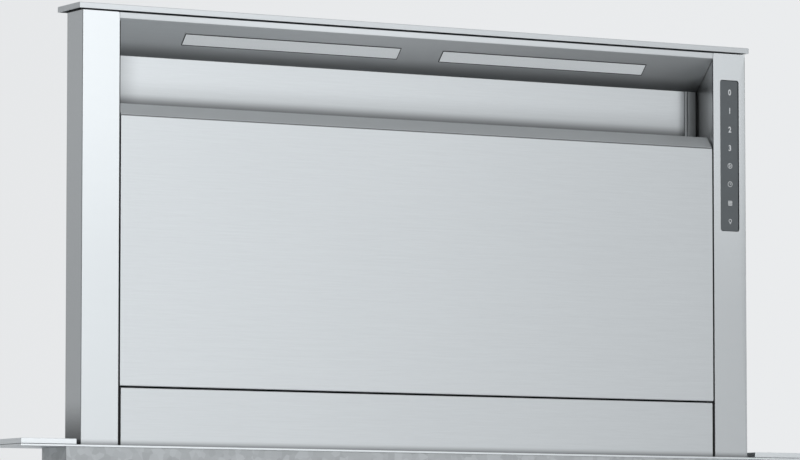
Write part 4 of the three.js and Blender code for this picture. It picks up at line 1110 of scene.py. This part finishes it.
FILTER_BORDER = 9 * MM
FILTER_EASE = 0.8 * MM
STRANDS = ((9 * MM, 6 * MM, 0.7 * MM, -0.9 * MM), (14 * MM, 10 * MM, 1.0 * MM, 0.9 * MM))
STRAND_THICKNESS = 0.5 * MM
STRAND_TILT = math.radians(16)
HANDLE_PLATE_HALF = 34 * MM
HANDLE_PLATE_DROPS = (26 * MM, 8 * MM)
HANDLE_PLATE_DEPTHS = (-0.2 * MM, 1 * MM)
HANDLE_PLATE_EASE = 0.4 * MM
HANDLE_WIRE = 1.3 * MM
HANDLE_OFF_FRAME = 1.4 * MM
HANDLE_DROP = 15 * MM
HANDLE_BENDS = (
    (-27, 1, 0), (-27, 0, -6), (-21, 0, -24), (0, 0, -26), (21, 0, -24), (27, 0, -6), (27, 1, 0))


def expanded_mesh(name, low, high, wide, tall, strand, back):
    """Slit and stretched sheet: one tilted diamond, repeated both ways inside the frame.

    A strand is (diamond's width, its height, strand's width, place behind the frame's middle).
    """
    across = high.x - low.x - FILTER_BORDER
    up = high.z - low.z - FILTER_BORDER
    columns = int(across / wide)
    rows = int(up / tall)
    nothing()
    bpy.ops.mesh.primitive_circle_add(vertices=4, radius=0.5, fill_type="NGON")
    cell = bpy.context.object
    cell.scale = (wide, tall, 1)
    cell = settled(cell, name)
    select(cell, "FACE", lambda middle, normal: True)
    bpy.ops.mesh.inset(thickness=strand)
    bpy.ops.mesh.delete(type="FACE")
    bpy.ops.object.mode_set(mode="OBJECT")
    cell.rotation_euler.x = math.radians(90) + STRAND_TILT
    middle = (low + high) / 2
    cell.location = (
        middle.x - (columns - 1) * wide / 2,
        middle.y + back,
        middle.z - (rows - 1) * tall / 2,
    )
    settled(cell)
    modify(cell, "ARRAY", count=columns, use_relative_offset=False, use_constant_offset=True,
           constant_offset_displace=(wide, 0, 0))
    modify(cell, "ARRAY", count=rows, use_relative_offset=False, use_constant_offset=True,
           constant_offset_displace=(0, 0, tall))
    modify(cell, "SOLIDIFY", thickness=STRAND_THICKNESS, offset=0)
    return cell


def grease_filter(name):
    """An aluminium frame with two layers of expanded mesh and a folding handle."""
    node = "grease_filter_" + name
    low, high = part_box(node)
    rim = holed(slab(node + "_frame", low, high), (0, 1, 0), FILTER_BORDER)
    fitted(eased(rim, FILTER_EASE, 3), "tower", ROLLED, "aluminium", node)
    layers = [expanded_mesh("layer", low, high, *strand) for strand in STRANDS]
    fitted(joined(node + "_mesh", layers), "tower", ROLLED, "aluminium")
    middle = (low.x + high.x) / 2
    foot, top = (high.z - drop for drop in HANDLE_PLATE_DROPS)
    front, back = (low.y + depth for depth in HANDLE_PLATE_DEPTHS)
    left, right = (middle + side * HANDLE_PLATE_HALF for side in (-1, 1))
    plate = slab("plate", (left, front, foot), (right, back, top))
    plate = joined(node + "_handle_plate", [eased(plate, HANDLE_PLATE_EASE)])
    fitted(plate, "tower", ROLLED, "aluminium")
    hinge = Vector((middle, low.y - HANDLE_OFF_FRAME, high.z - HANDLE_DROP))
    bail = wire(node + "_handle", [hinge + Vector(bend) * MM for bend in HANDLE_BENDS], HANDLE_WIRE)
    fitted(bail, "tower", TURNED, "machined_steel")


MAGNET_RADIUS = 6 * MM
MAGNET_HEIGHT = 2.4 * MM
MAGNET_RIM = 1.2 * MM
MAGNET_HOLLOW = 0.3 * MM
MAGNET_ACROSS = 286 * MM
MAGNET_BELOW_TOP = 11 * MM


def panel_magnets():
    """The round magnets behind the front panel's top corners, each in a steel cup."""
    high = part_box("panel_backing")[1]
    for name, side in SIDES.items():
        place = Vector((side * MAGNET_ACROSS, high.y, high.z - MAGNET_BELOW_TOP))
        top = place + Vector((0, MAGNET_HEIGHT, 0))
        cup = bar("panel_magnet_" + name, place, top, MAGNET_RADIUS, 28)
        select(cup, "FACE", lambda middle, normal: normal.y > 0.9)
        bpy.ops.mesh.inset(thickness=MAGNET_RIM)
        bpy.ops.mesh.extrude_region_move(TRANSFORM_OT_translate={"value": (0, -MAGNET_HOLLOW, 0)})
        bpy.ops.object.mode_set(mode="OBJECT")
        fitted(eased(cup, EASE), "panel", TURNED, "machined_steel")


for name in SIDES:
    grease_filter(name)
panel_magnets()


# ------------------------------------------------------------------ housing and what it carries


SMALL_SCREW = 2.2 * MM
PLATE_SCREW = 2.6 * MM
REAR_COVER_EDGE = 8 * MM
REAR_COVER_SCREWS_UP = (362, 250, 138, 26)
HOUSING_FRONT_EDGE = 7 * MM
HOUSING_FRONT_SCREWS_UP = range(-620, -19, 75)
DRIVE_PLATE_MIDDLE = 1 * MM
DRIVE_PLATE_SCREWS_ACROSS = (-330, -165, 0, 165, 330)
GUIDE_RAIL_SCREWS_UP = (-130, -230, -330)


def seam_screws():
    """Small screws that hold the covers and the inner plates to the sheets."""
    low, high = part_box("rear_cover")
    edges = (low.x + REAR_COVER_EDGE, high.x - REAR_COVER_EDGE)
    places = [(x, high.y, z * MM) for x in edges for z in REAR_COVER_SCREWS_UP]
    screwed("rear_cover_screws", "tower", "back", places, SMALL_SCREW)
    low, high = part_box("housing_front")
    edges = (low.x + HOUSING_FRONT_EDGE, high.x - HOUSING_FRONT_EDGE)
    places = [(x, low.y, z * MM) for x in edges for z in HOUSING_FRONT_SCREWS_UP]
    screwed("housing_front_screws", "housing", "front", places, SMALL_SCREW)
    low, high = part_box("housing_shell")
    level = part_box("drive_plate")[0].z + DRIVE_PLATE_MIDDLE
    places = [(x * MM, high.y, level) for x in DRIVE_PLATE_SCREWS_ACROSS]
    screwed("drive_plate_screws", "housing", "back", places, PLATE_SCREW)
    for name, side in SIDES.items():
        end = low.x if side < 0 else high.x
        rail_low, rail_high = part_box("guide_rail_" + name)
        middle = (rail_low.y + rail_high.y) / 2
        places = [(end, middle, z * MM) for z in GUIDE_RAIL_SCREWS_UP]
        screwed("guide_rail_screws_" + name, "housing", name, places, PLATE_SCREW)


RIB_WIDTH = 11 * MM
RIB_HEIGHT = 1.6 * MM
HOUSING_RIBS = {
    "back": (
        (-315, 315, (-70, -190, -310, -430, -570)),
    ),
    "front": (
        (-315, 315, (-70,)),
        (-175, 315, (-160, -250)),
        (220, 325, (-340, -430, -520, -600)),
        (-325, -215, (-360, -440, -520, -600)),
    ),
}


def housing_beads():
    """Ribs pressed out of the housing's big flat sheets: from x, to x and heights of each row."""
    faces = {"back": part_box("housing_shell")[1].y, "front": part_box("housing_front")[0].y}
    for name, rows in HOUSING_RIBS.items():
        y = faces[name]
        runs = [((start * MM, y, z * MM), (end * MM, y, z * MM)) for start, end, ups in rows for z in ups]
        beads("housing_%s_beads" % name, "housing", runs, RIB_WIDTH, RIB_HEIGHT, 1, ZINC, "galvanised")


BLOWER_COVER_SCREW = 2.8 * MM
BLOWER_COVER_EDGE = 8 * MM
BLOWER_COVER_SCREWS_UP = (-318, -396, -475, -554, -632)
BLOWER_COVER_SCREWS_ACROSS = (-90, 0, 90)
COVER_RINGS = (62 * MM, 118 * MM)
RING_WIDTH = 12 * MM
RING_HEIGHT = 1.8 * MM
FAN_BOLT = 3.2 * MM
FAN_BOLT_CIRCLE = 38 * MM
RIM_WIDTH = 13 * MM
RIM_SHEET = 1.2 * MM
RIM_EASE = 0.3 * MM
RIM_SCREWS_UP = (-350, -450, -550)
RIM_SCREWS_ACROSS = (-120, 0, 120)


def blower_outside():
    """The blower box's cover with its screws and pressed rings, and the rim against the housing."""
    low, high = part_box("blower_cover")
    edges = (low.x + BLOWER_COVER_EDGE, high.x - BLOWER_COVER_EDGE)
    places = [(x, low.y, z * MM) for x in edges for z in BLOWER_COVER_SCREWS_UP]
    ends = (BLOWER_COVER_SCREWS_UP[0], BLOWER_COVER_SCREWS_UP[-1])
    places += [(x * MM, low.y, z * MM) for x in BLOWER_COVER_SCREWS_ACROSS for z in ends]
    screwed("blower_cover_screws", "housing", "front", places, BLOWER_COVER_SCREW)
    wheel_low, wheel_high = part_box("blower_wheel")
    axis = (wheel_low + wheel_high) / 2
    for number, radius in enumerate(COVER_RINGS, 1):
        pressed_ring("blower_cover_ring_%d" % number, (axis.x, low.y, axis.z), radius, RING_WIDTH,
                     RING_HEIGHT, "housing", ZINC, "galvanised")
    places = [(axis.x + x, low.y, axis.z + z) for x, z in around(3, FAN_BOLT_CIRCLE, 90)]
    screwed("blower_motor_screws", "housing", "front", places, FAN_BOLT, hex_bolt)
    low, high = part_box("blower_box")
    face = high.y - RIM_SHEET
    rim = slab("blower_box_rim", (low.x - RIM_WIDTH, face, low.z),
               (high.x + RIM_WIDTH, high.y, high.z + RIM_WIDTH))
    holed(rim, (0, 1, 0), RIM_WIDTH)
    fitted(eased(rim, RIM_EASE), "housing", ZINC, "galvanised")
    edges = (low.x - RIM_WIDTH / 2, high.x + RIM_WIDTH / 2)
    places = [(x, face, z * MM) for x in edges for z in RIM_SCREWS_UP]
    places += [(x * MM, face, high.z + RIM_WIDTH / 2) for x in RIM_SCREWS_ACROSS]
    screwed("blower_box_screws", "housing", "front", places, PLATE_SCREW)


COLLAR_RADIUS = 74.5 * MM
COLLAR_WALL = 1.2 * MM
COLLAR_EASE = 0.3 * MM
COLLAR_CORNER = 1.5 * MM
COLLAR_CORNER_MIDDLE = 0.4 * MM
COLLAR_BEAD = 1.3 * MM
COLLAR_BEAD_FROM_END = 12 * MM
COLLAR_SCREW = 2.4 * MM
COLLAR_SCREW_EDGE = 5 * MM
DAMPER_PIN_RADIUS = 2 * MM


def collar_profile(flange, length):
    """The collar's wall as (radius, height) pairs: flange, rounded corner, rolled bead, eased end."""
    outer = COLLAR_RADIUS
    inner = outer - COLLAR_WALL
    profile = [
        (inner, 0), (flange, 0), (flange, COLLAR_WALL), (outer + COLLAR_CORNER, COLLAR_WALL),
        (outer + COLLAR_CORNER_MIDDLE, COLLAR_WALL + COLLAR_CORNER_MIDDLE),
        (outer, COLLAR_WALL + COLLAR_CORNER),
    ]
    for step in range(-90, 91, 30):
        angle = math.radians(step)
        rise = length - COLLAR_BEAD_FROM_END + math.sin(angle) * COLLAR_BEAD
        profile.append((outer + math.cos(angle) * COLLAR_BEAD, rise))
    profile += [
        (outer, length - COLLAR_EASE), (outer - COLLAR_EASE, length),
        (inner + COLLAR_EASE, length), (inner, length - COLLAR_EASE), (inner, 0),
    ]
    return profile


def outlet():
    """The duct collar: a round tube with a rolled bead, its screwed flange and the dampers' pin."""
    low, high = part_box("outlet_collar")
    middle = (low + high) / 2
    flange = (high.z - low.z) / 2
    tube = turned("tube", collar_profile(flange, high.x - low.x), (0, 0, 0), 128)
    tube = copies("tube", faced(tube, "right"), [(low.x, middle.y, middle.z)])
    reach = COLLAR_RADIUS - COLLAR_WALL / 2
    damper_low, damper_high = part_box("damper_flap_front")
    pin_x = (damper_low.x + damper_high.x) / 2
    pin = bar("pin", (pin_x, middle.y, middle.z - reach), (pin_x, middle.y, middle.z + reach),
              DAMPER_PIN_RADIUS, 20)
    made = joined("outlet_collar_finish", [smooth(tube), smooth(pin)])
    fitted(made, "housing", ZINC, "galvanised", "outlet_collar")
    circle = around(6, flange - COLLAR_SCREW_EDGE, 30)
    places = [(low.x + COLLAR_WALL, middle.y + y, middle.z + z) for y, z in circle]
    screwed("collar_screws", "housing", "right", places, COLLAR_SCREW)


FLAP_SIDES = {"front": -1, "rear": 1}
FLAP_RIBS = ((22, 55), (44, 42))
FLAP_RIB_WIDTH = 5 * MM
FLAP_RIB_HEIGHT = 0.8 * MM
EYES_UP = {"front": (-52, -6, 40), "rear": (-38, 8, 54)}
EYE_LENGTH = 12 * MM
EYE_RADIUS = 1.6 * MM
EYE_FROM_PIN = 4.4 * MM
EYE_EASE = 0.3 * MM


def damper_flaps():
    """Each half disc with its pressed ribs and the curled eyes that turn on the pin.

    A rib is (its distance from the pin, half its length); the two flaps' eyes stand clear of each other.
    """
    collar_low, collar_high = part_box("outlet_collar")
    centre = (collar_low + collar_high) / 2
    for name, side in FLAP_SIDES.items():
        node = "damper_flap_" + name
        body = "damper_" + name
        low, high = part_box(node)
        soft_copy(node, EASE)
        runs = []
        for reach, half in FLAP_RIBS:
            y = centre.y + side * reach * MM
            runs.append(((high.x, y, centre.z - half * MM), (high.x, y, centre.z + half * MM)))
        beads(node + "_beads", body, runs, FLAP_RIB_WIDTH, FLAP_RIB_HEIGHT, 0, ROLLED, "aluminium")
        eyes = []
        for up in EYES_UP[name]:
            foot = Vector(((low.x + high.x) / 2, centre.y + side * EYE_FROM_PIN, centre.z + up * MM))
            eyes.append(bar("eye", foot, foot + Vector((0, 0, EYE_LENGTH)), EYE_RADIUS, 20))
        fitted(eased(joined(node + "_eyes", eyes), EYE_EASE), body, ROLLED, "aluminium")


ELECTRONICS_EDGE = 7 * MM
LOUVRE_COUNT = 5
LOUVRE_LENGTH = 84 * MM
LOUVRE_WIDTH = 6 * MM
LOUVRE_START = 26 * MM
LOUVRE_STEP = 11 * MM


def electronics_outside():
    """Screws in the corners of the electronics box's cover, and its louvres."""
    low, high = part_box("electronics_cover")
    edges = (low.x + ELECTRONICS_EDGE, high.x - ELECTRONICS_EDGE)
    ends = (low.z + ELECTRONICS_EDGE, high.z - ELECTRONICS_EDGE)
    places = [(x, low.y, z) for x in edges for z in ends]
    screwed("electronics_cover_screws", "housing", "front", places, PLATE_SCREW)
    middle = (low.x + high.x) / 2
    places = [(middle, low.y, low.z + LOUVRE_START + LOUVRE_STEP * n) for n in range(LOUVRE_COUNT)]
    louvres("electronics_louvres", "housing", places, LOUVRE_LENGTH, LOUVRE_WIDTH, ZINC, "galvanised")


CLAMP_SHEET = 2 * MM
CLAMP_BOLT = 4 * MM
CLAMP_BOLTS_APART = 16 * MM
CLAMP_BOLT_UP = 20 * MM
LEG_SHEET = 2.5 * MM
LEG_BOLT = 5.5 * MM
LEG_BOLT_FROM_BACK = 20 * MM
LEG_BOLTS_UP = (-610, -510)


def clamps_and_legs():
    """Bolts in the clamps, and the leg bolts that stay with the housing while a leg slides."""
    clamp_low, clamp_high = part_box("worktop_clamp_left")
    clamp_y = (clamp_low.y + clamp_high.y) / 2
    leg_low, leg_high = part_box("leg_right")
    for name, side in SIDES.items():
        wall = side * (leg_low.x + CLAMP_SHEET)
        places = [(wall, clamp_y + step * CLAMP_BOLTS_APART, clamp_low.z + CLAMP_BOLT_UP)
                  for step in (-0.5, 0.5)]
        screwed("clamp_bolts_" + name, "housing", name, places, CLAMP_BOLT, hex_bolt)
        wall = side * (leg_low.x + LEG_SHEET)
        places = [(wall, leg_high.y - LEG_BOLT_FROM_BACK, z * MM) for z in LEG_BOLTS_UP]
        screwed("leg_bolts_" + name, "housing", name, places, LEG_BOLT, hex_bolt)


SHEET_NODES = {
    "housing_front": 0.25, "housing_shell": 0.4, "housing_floor": 0.25, "blower_box": 0.35,
    "blower_cover": 0.3, "electronics_box": 0.3, "electronics_cover": 0.3, "drive_plate": 0.3,
    "motor_bracket": 0.3, "worktop_clamp_left": 0.4, "worktop_clamp_right": 0.4,
}
LEG_EASE = 0.4 * MM
PAD_HEIGHT = 5.9 * MM


def housing_sheets():
    """The housing's sheets with the edge radius that the table gives, and the legs."""
    for node, radius in SHEET_NODES.items():
        soft_copy(node, radius * MM)
    for name in SIDES:
        leg = soft_copy("leg_" + name, LEG_EASE)
        top_of_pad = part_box("leg_" + name)[0].z + PAD_HEIGHT
        recoat(leg, PAD_RUBBER, lambda middle, normal: middle.z < top_of_pad)


# ------------------------------------------------------------------ lift, motors and boards


THREAD_LEAD = 16 * MM
THREAD_STARTS = 4
THREAD_DEPTH = 0.8 * MM
THREAD_STEPS = 20
THREAD_ABOVE_BEARING = 2 * MM
ROD_RADIUS = 5 * MM
ROD_BELOW_PULLEY = 3 * MM
ROD_OVERLAP = 0.2 * MM
TIP_RADIUS = 4 * MM
TIP_LENGTH = 1 * MM


def thread(name, centre, radius, bottom, top):
    """A rod with a steep thread of several starts, cut level at both ends."""
    pitch = THREAD_LEAD / THREAD_STARTS
    core = radius - THREAD_DEPTH
    tooth = [(core, 0.1), (core, 0.4), (radius, 0.55), (radius, 0.9)]
    outline = []
    for start in range(THREAD_STARTS):
        outline += [(r, 0, (start + share) * pitch) for r, share in tooth]
    outline.append((core, 0, (THREAD_STARTS + tooth[0][1]) * pitch))
    made = chain(name, outline)
    turns = math.ceil((top - bottom) / THREAD_LEAD) + 2
    modify(made, "SCREW", axis="Z", steps=THREAD_STEPS, render_steps=THREAD_STEPS,
           screw_offset=THREAD_LEAD, iterations=turns, use_merge_vertices=False)
    made.location = (centre.x, centre.y, bottom - 1.5 * THREAD_LEAD)
    outwards(settled(made))
    for height, way in ((bottom, -1), (top, 1)):
        select(made, "FACE", lambda middle, normal: True)
        bpy.ops.mesh.bisect(
            plane_co=(0, 0, height), plane_no=(0, 0, way), clear_outer=True, use_fill=True)
        bpy.ops.object.mode_set(mode="OBJECT")
    return smooth(outwards(made), math.radians(40))


PULLEY_PAST_BELT = 1 * MM
PULLEY_LIP = 1 * MM
PULLEY_TEETH = 28
TOOTH_HEIGHT = 1 * MM
TOOTH_RADIUS = 0.8 * MM


def pulley(name, centre, bottom, top, radius):
    """A toothed pulley between two thin flanges."""
    core = radius - TOOTH_HEIGHT
    foot = bottom + PULLEY_LIP
    head = top - PULLEY_LIP
    outline = [
        (0, bottom), (radius - EASE, bottom), (radius, bottom + EASE), (radius, foot), (core, foot),
        (core, head), (radius, head), (radius, top - EASE), (radius - EASE, top), (0, top),
    ]
    hub = turned(name, outline, (centre.x, centre.y, 0), 56)
    tooth = bar("tooth", (0, 0, foot), (0, 0, head), TOOTH_RADIUS, 8)
    places = [(centre.x + x, centre.y + y, 0) for x, y in around(PULLEY_TEETH, core)]
    teeth = copies("teeth", tooth, places)
    return joined(name, [smooth(hub), smooth(teeth)])


SHAFT_RADIUS = 3 * MM
SHAFT_BELOW_COUPLING = 5 * MM
COUPLING_RADIUS = 8 * MM
COUPLING_LENGTH = 15 * MM
COUPLING_EASE = 0.4 * MM
COUPLING_SLITS = 5
COUPLING_SLIT_STEP = 2.5 * MM
COUPLING_SLIT = ((0, -0.5), (0.8, -0.3), (0.8, 0), (0, 0.2))


def coupling(centre, bottom):
    """The coupling between the motor's shaft and the screw, with slits of (depth, height) pairs."""
    outer = COUPLING_RADIUS
    top = bottom + COUPLING_LENGTH
    outline = [(0, bottom), (outer - COUPLING_EASE, bottom), (outer, bottom + COUPLING_EASE)]
    for slit in range(1, COUPLING_SLITS + 1):
        up = bottom + slit * COUPLING_SLIT_STEP
        outline += [(outer - deep * MM, up + rise * MM) for deep, rise in COUPLING_SLIT]
    outline += [(outer, top - COUPLING_EASE), (outer - COUPLING_EASE, top), (0, top)]
    return smooth(turned("coupling", outline, (centre.x, centre.y, 0), 48))


def upright(name, centre, bottom, top, radius, sides=32):
    """A smooth round bar that stands on end."""
    return smooth(bar(name, (centre.x, centre.y, bottom), (centre.x, centre.y, top), radius, sides))


def lead_screws():
    """Threaded screws with their pulleys; the right one also has its coupling to the motor."""
    belt_low, belt_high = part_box("drive_belt")
    pulley_bottom = belt_low.z - PULLEY_PAST_BELT
    pulley_top = belt_high.z + PULLEY_PAST_BELT
    rod_bottom = pulley_bottom - ROD_BELOW_PULLEY
    for name in SIDES:
        node = "lead_screw_" + name
        low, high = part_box(node)
        centre = (low + high) / 2
        thread_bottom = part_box("screw_bearing_" + name)[1].z + THREAD_ABOVE_BEARING
        thread_top = high.z - TIP_LENGTH
        parts = [
            thread("thread", centre, ROD_RADIUS, thread_bottom, thread_top),
            upright("journal", centre, rod_bottom, thread_bottom + ROD_OVERLAP, ROD_RADIUS),
            upright("tip", centre, thread_top - ROD_OVERLAP, high.z, TIP_RADIUS),
            pulley("pulley", centre, pulley_bottom, pulley_top, (high.x - low.x) / 2),
        ]
        if name == "right":
            parts.append(coupling(centre, low.z + SHAFT_BELOW_COUPLING))
            parts.append(upright("shaft", centre, low.z, rod_bottom, SHAFT_RADIUS, 24))
        fitted(joined(node + "_finish", parts), "screw_" + name, TURNED, "machined_steel", node)


MOTOR_EASE = 0.5 * MM
GEARBOX_HEIGHT = 24 * MM
GEARBOX_SCREW = 0.7 * MM
GEARBOX_SCREW_CIRCLE = 16.2 * MM
FAN_NODES = {"blower_motor": (0.8, 3), "blower_wheel": (0.1, 1), "blower_scroll": (0.3, 2)}


def motors():
    """The lift motor with its bright gearbox, and the fan's pieces by (edge radius, steps)."""
    low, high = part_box("lift_motor")
    motor = soft_copy("lift_motor", MOTOR_EASE, steps=3)
    gearbox = high.z - GEARBOX_HEIGHT
    recoat(motor, TURNED, lambda middle, normal: middle.z > gearbox)
    centre = (low + high) / 2
    places = [(centre.x + x, centre.y + y, gearbox) for x, y in around(4, GEARBOX_SCREW_CIRCLE, 45)]
    screwed("gearbox_screws", "housing", "down", places, GEARBOX_SCREW)
    for node, (radius, steps) in FAN_NODES.items():
        soft_copy(node, radius * MM, steps=steps)


BOARD_EASE = 0.25 * MM
BOARD_FRONT = 9.9 * MM
BOARD_BACK = 7.9 * MM
TRANSFORMER_END = 60 * MM
CAPACITOR_TOP = 50 * MM


def boards():
    """The main board, with its transformer, its capacitor and its posts in their own materials."""
    low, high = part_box("circuit_board")
    board = soft_copy("circuit_board", BOARD_EASE)
    face = high.y - BOARD_FRONT
    split = low.x + TRANSFORMER_END
    recoat(board, BLACK_PLASTIC, lambda middle, normal: middle.y < face and middle.x < split)
    recoat(board, TURNED, lambda middle, normal: (
        middle.y < face and middle.x > split and middle.z < low.z + CAPACITOR_TOP))
    recoat(board, ROLLED, lambda middle, normal: middle.y > high.y - BOARD_BACK)


SMALL_NODES = {
    "guide_rail_left": 0.3, "guide_rail_right": 0.3, "guide_shoe_left": 0.5, "guide_shoe_right": 0.5,
    "lift_nut_left": 0.5, "lift_nut_right": 0.5, "screw_bearing_left": 0.5, "screw_bearing_right": 0.5,
    "drive_belt": 0.2, "limit_switch_strip": 0.3, "cable_gland": 0.4,
    "panel_pin_left": 0.3, "panel_pin_right": 0.3, "led_strip_left": 0.15, "led_strip_right": 0.15,
}


def small_nodes():
    """Every other small part, with the edge radius that the table gives."""
    for node, radius in SMALL_NODES.items():
        soft_copy(node, radius * MM)


housing_sheets()
housing_beads()
seam_screws()
blower_outside()
outlet()
damper_flaps()
electronics_outside()
clamps_and_legs()
lead_screws()
motors()
boards()
small_nodes()


# ------------------------------------------------------------------ studio

FLOOR_HALF = 30.0
FLOOR_GAP = 0.5 * MM
CAMERA_PLACE = Vector((-2.142, -3.7379, -0.1416))
CAMERA_HEADING = math.atan2(0.4976, 0.8674)
CAMERA_PITCH = math.radians(4.56)
CAMERA_LENS = 216.5


def camera():
    data = bpy.data.cameras.new("camera")
    data.lens = CAMERA_LENS
    data.sensor_width = 36
    data.clip_start = 0.05
    data.clip_end = 100
    made = bpy.data.objects.new("camera", data)
    made.location = CAMERA_PLACE
    made.rotation_euler = (math.radians(90) + CAMERA_PITCH, 0, -CAMERA_HEADING)
    bpy.context.scene.collection.objects.link(made)
    bpy.context.scene.camera = made


def floor():
    nothing()
    bpy.ops.mesh.primitive_plane_add(size=2 * FLOOR_HALF, location=(0, 0, cad_box[0].z - FLOOR_GAP))
    made = settled(bpy.context.object, "floor")
    recipe = Recipe("studio floor")
    grain = recipe.noise(recipe.place, scale=3, detail=3)
    recipe.link(recipe.ramp(grain, (0.3, (0.78, 0.785, 0.79)), (0.7, (0.8, 0.805, 0.81))), "Base Color")
    recipe.set(Roughness=0.8)
    made.data.materials.append(recipe.material)


SKY_LEFT = 0.46
SKY_RIGHT = 0.86
SKY_FRONT = 0.2
SKY_TOP = 0.75
GLOW = 1.95
GLOW_HEADING = Vector((0.18, -0.97, 0.2)).normalized()
GLOW_EDGE = math.cos(math.radians(33.5))
GLOW_TALL = 0.7


def sky():
    """A soft dome: dim at the left, pale at the right, with a broad glow in front."""
    world = bpy.data.worlds.new("studio")
    bpy.context.scene.world = world
    world.use_nodes = True
    nodes = world.node_tree.nodes
    links = world.node_tree.links
    direction = nodes.new("ShaderNodeTexCoord").outputs["Generated"]
    parts = nodes.new("ShaderNodeSeparateXYZ")
    links.new(direction, parts.inputs[0])

    def eased_range(value, start, end, low, high):
        made = nodes.new("ShaderNodeMapRange")
        made.interpolation_type = "SMOOTHSTEP"
        for key, number in (("From Min", start), ("From Max", end), ("To Min", low), ("To Max", high)):
            if isinstance(number, float):
                made.inputs[key].default_value = number
            else:
                links.new(number, made.inputs[key])
        links.new(value, made.inputs["Value"])
        return made.outputs["Result"]

    sideways = eased_range(parts.outputs["X"], -0.7, 0.7, SKY_LEFT, SKY_RIGHT)
    level = eased_range(parts.outputs["Y"], -0.5, 0.5, SKY_FRONT, sideways)
    dome = eased_range(parts.outputs["Z"], 0.3, 0.95, level, SKY_TOP)
    towards = nodes.new("ShaderNodeVectorMath")
    towards.operation = "DOT_PRODUCT"
    towards.inputs[1].default_value = GLOW_HEADING
    taller = nodes.new("ShaderNodeMapping")
    taller.vector_type = "VECTOR"
    taller.inputs["Scale"].default_value = (1, 1, GLOW_TALL)
    links.new(direction, taller.inputs["Vector"])
    unit = nodes.new("ShaderNodeVectorMath")
    unit.operation = "NORMALIZE"
    links.new(taller.outputs["Vector"], unit.inputs[0])
    links.new(unit.outputs["Vector"], towards.inputs[0])
    glow = eased_range(towards.outputs["Value"], GLOW_EDGE, 1.0, 0.0, GLOW)
    total = nodes.new("ShaderNodeMath")
    total.operation = "ADD"
    links.new(dome, total.inputs[0])
    links.new(glow, total.inputs[1])
    back = nodes["Background"]
    back.inputs["Color"].default_value = (0.97, 0.985, 1.0, 1)
    links.new(total.outputs["Value"], back.inputs["Strength"])


camera()
floor()
sky()
bpy.context.scene.view_settings.view_transform = "Standard"
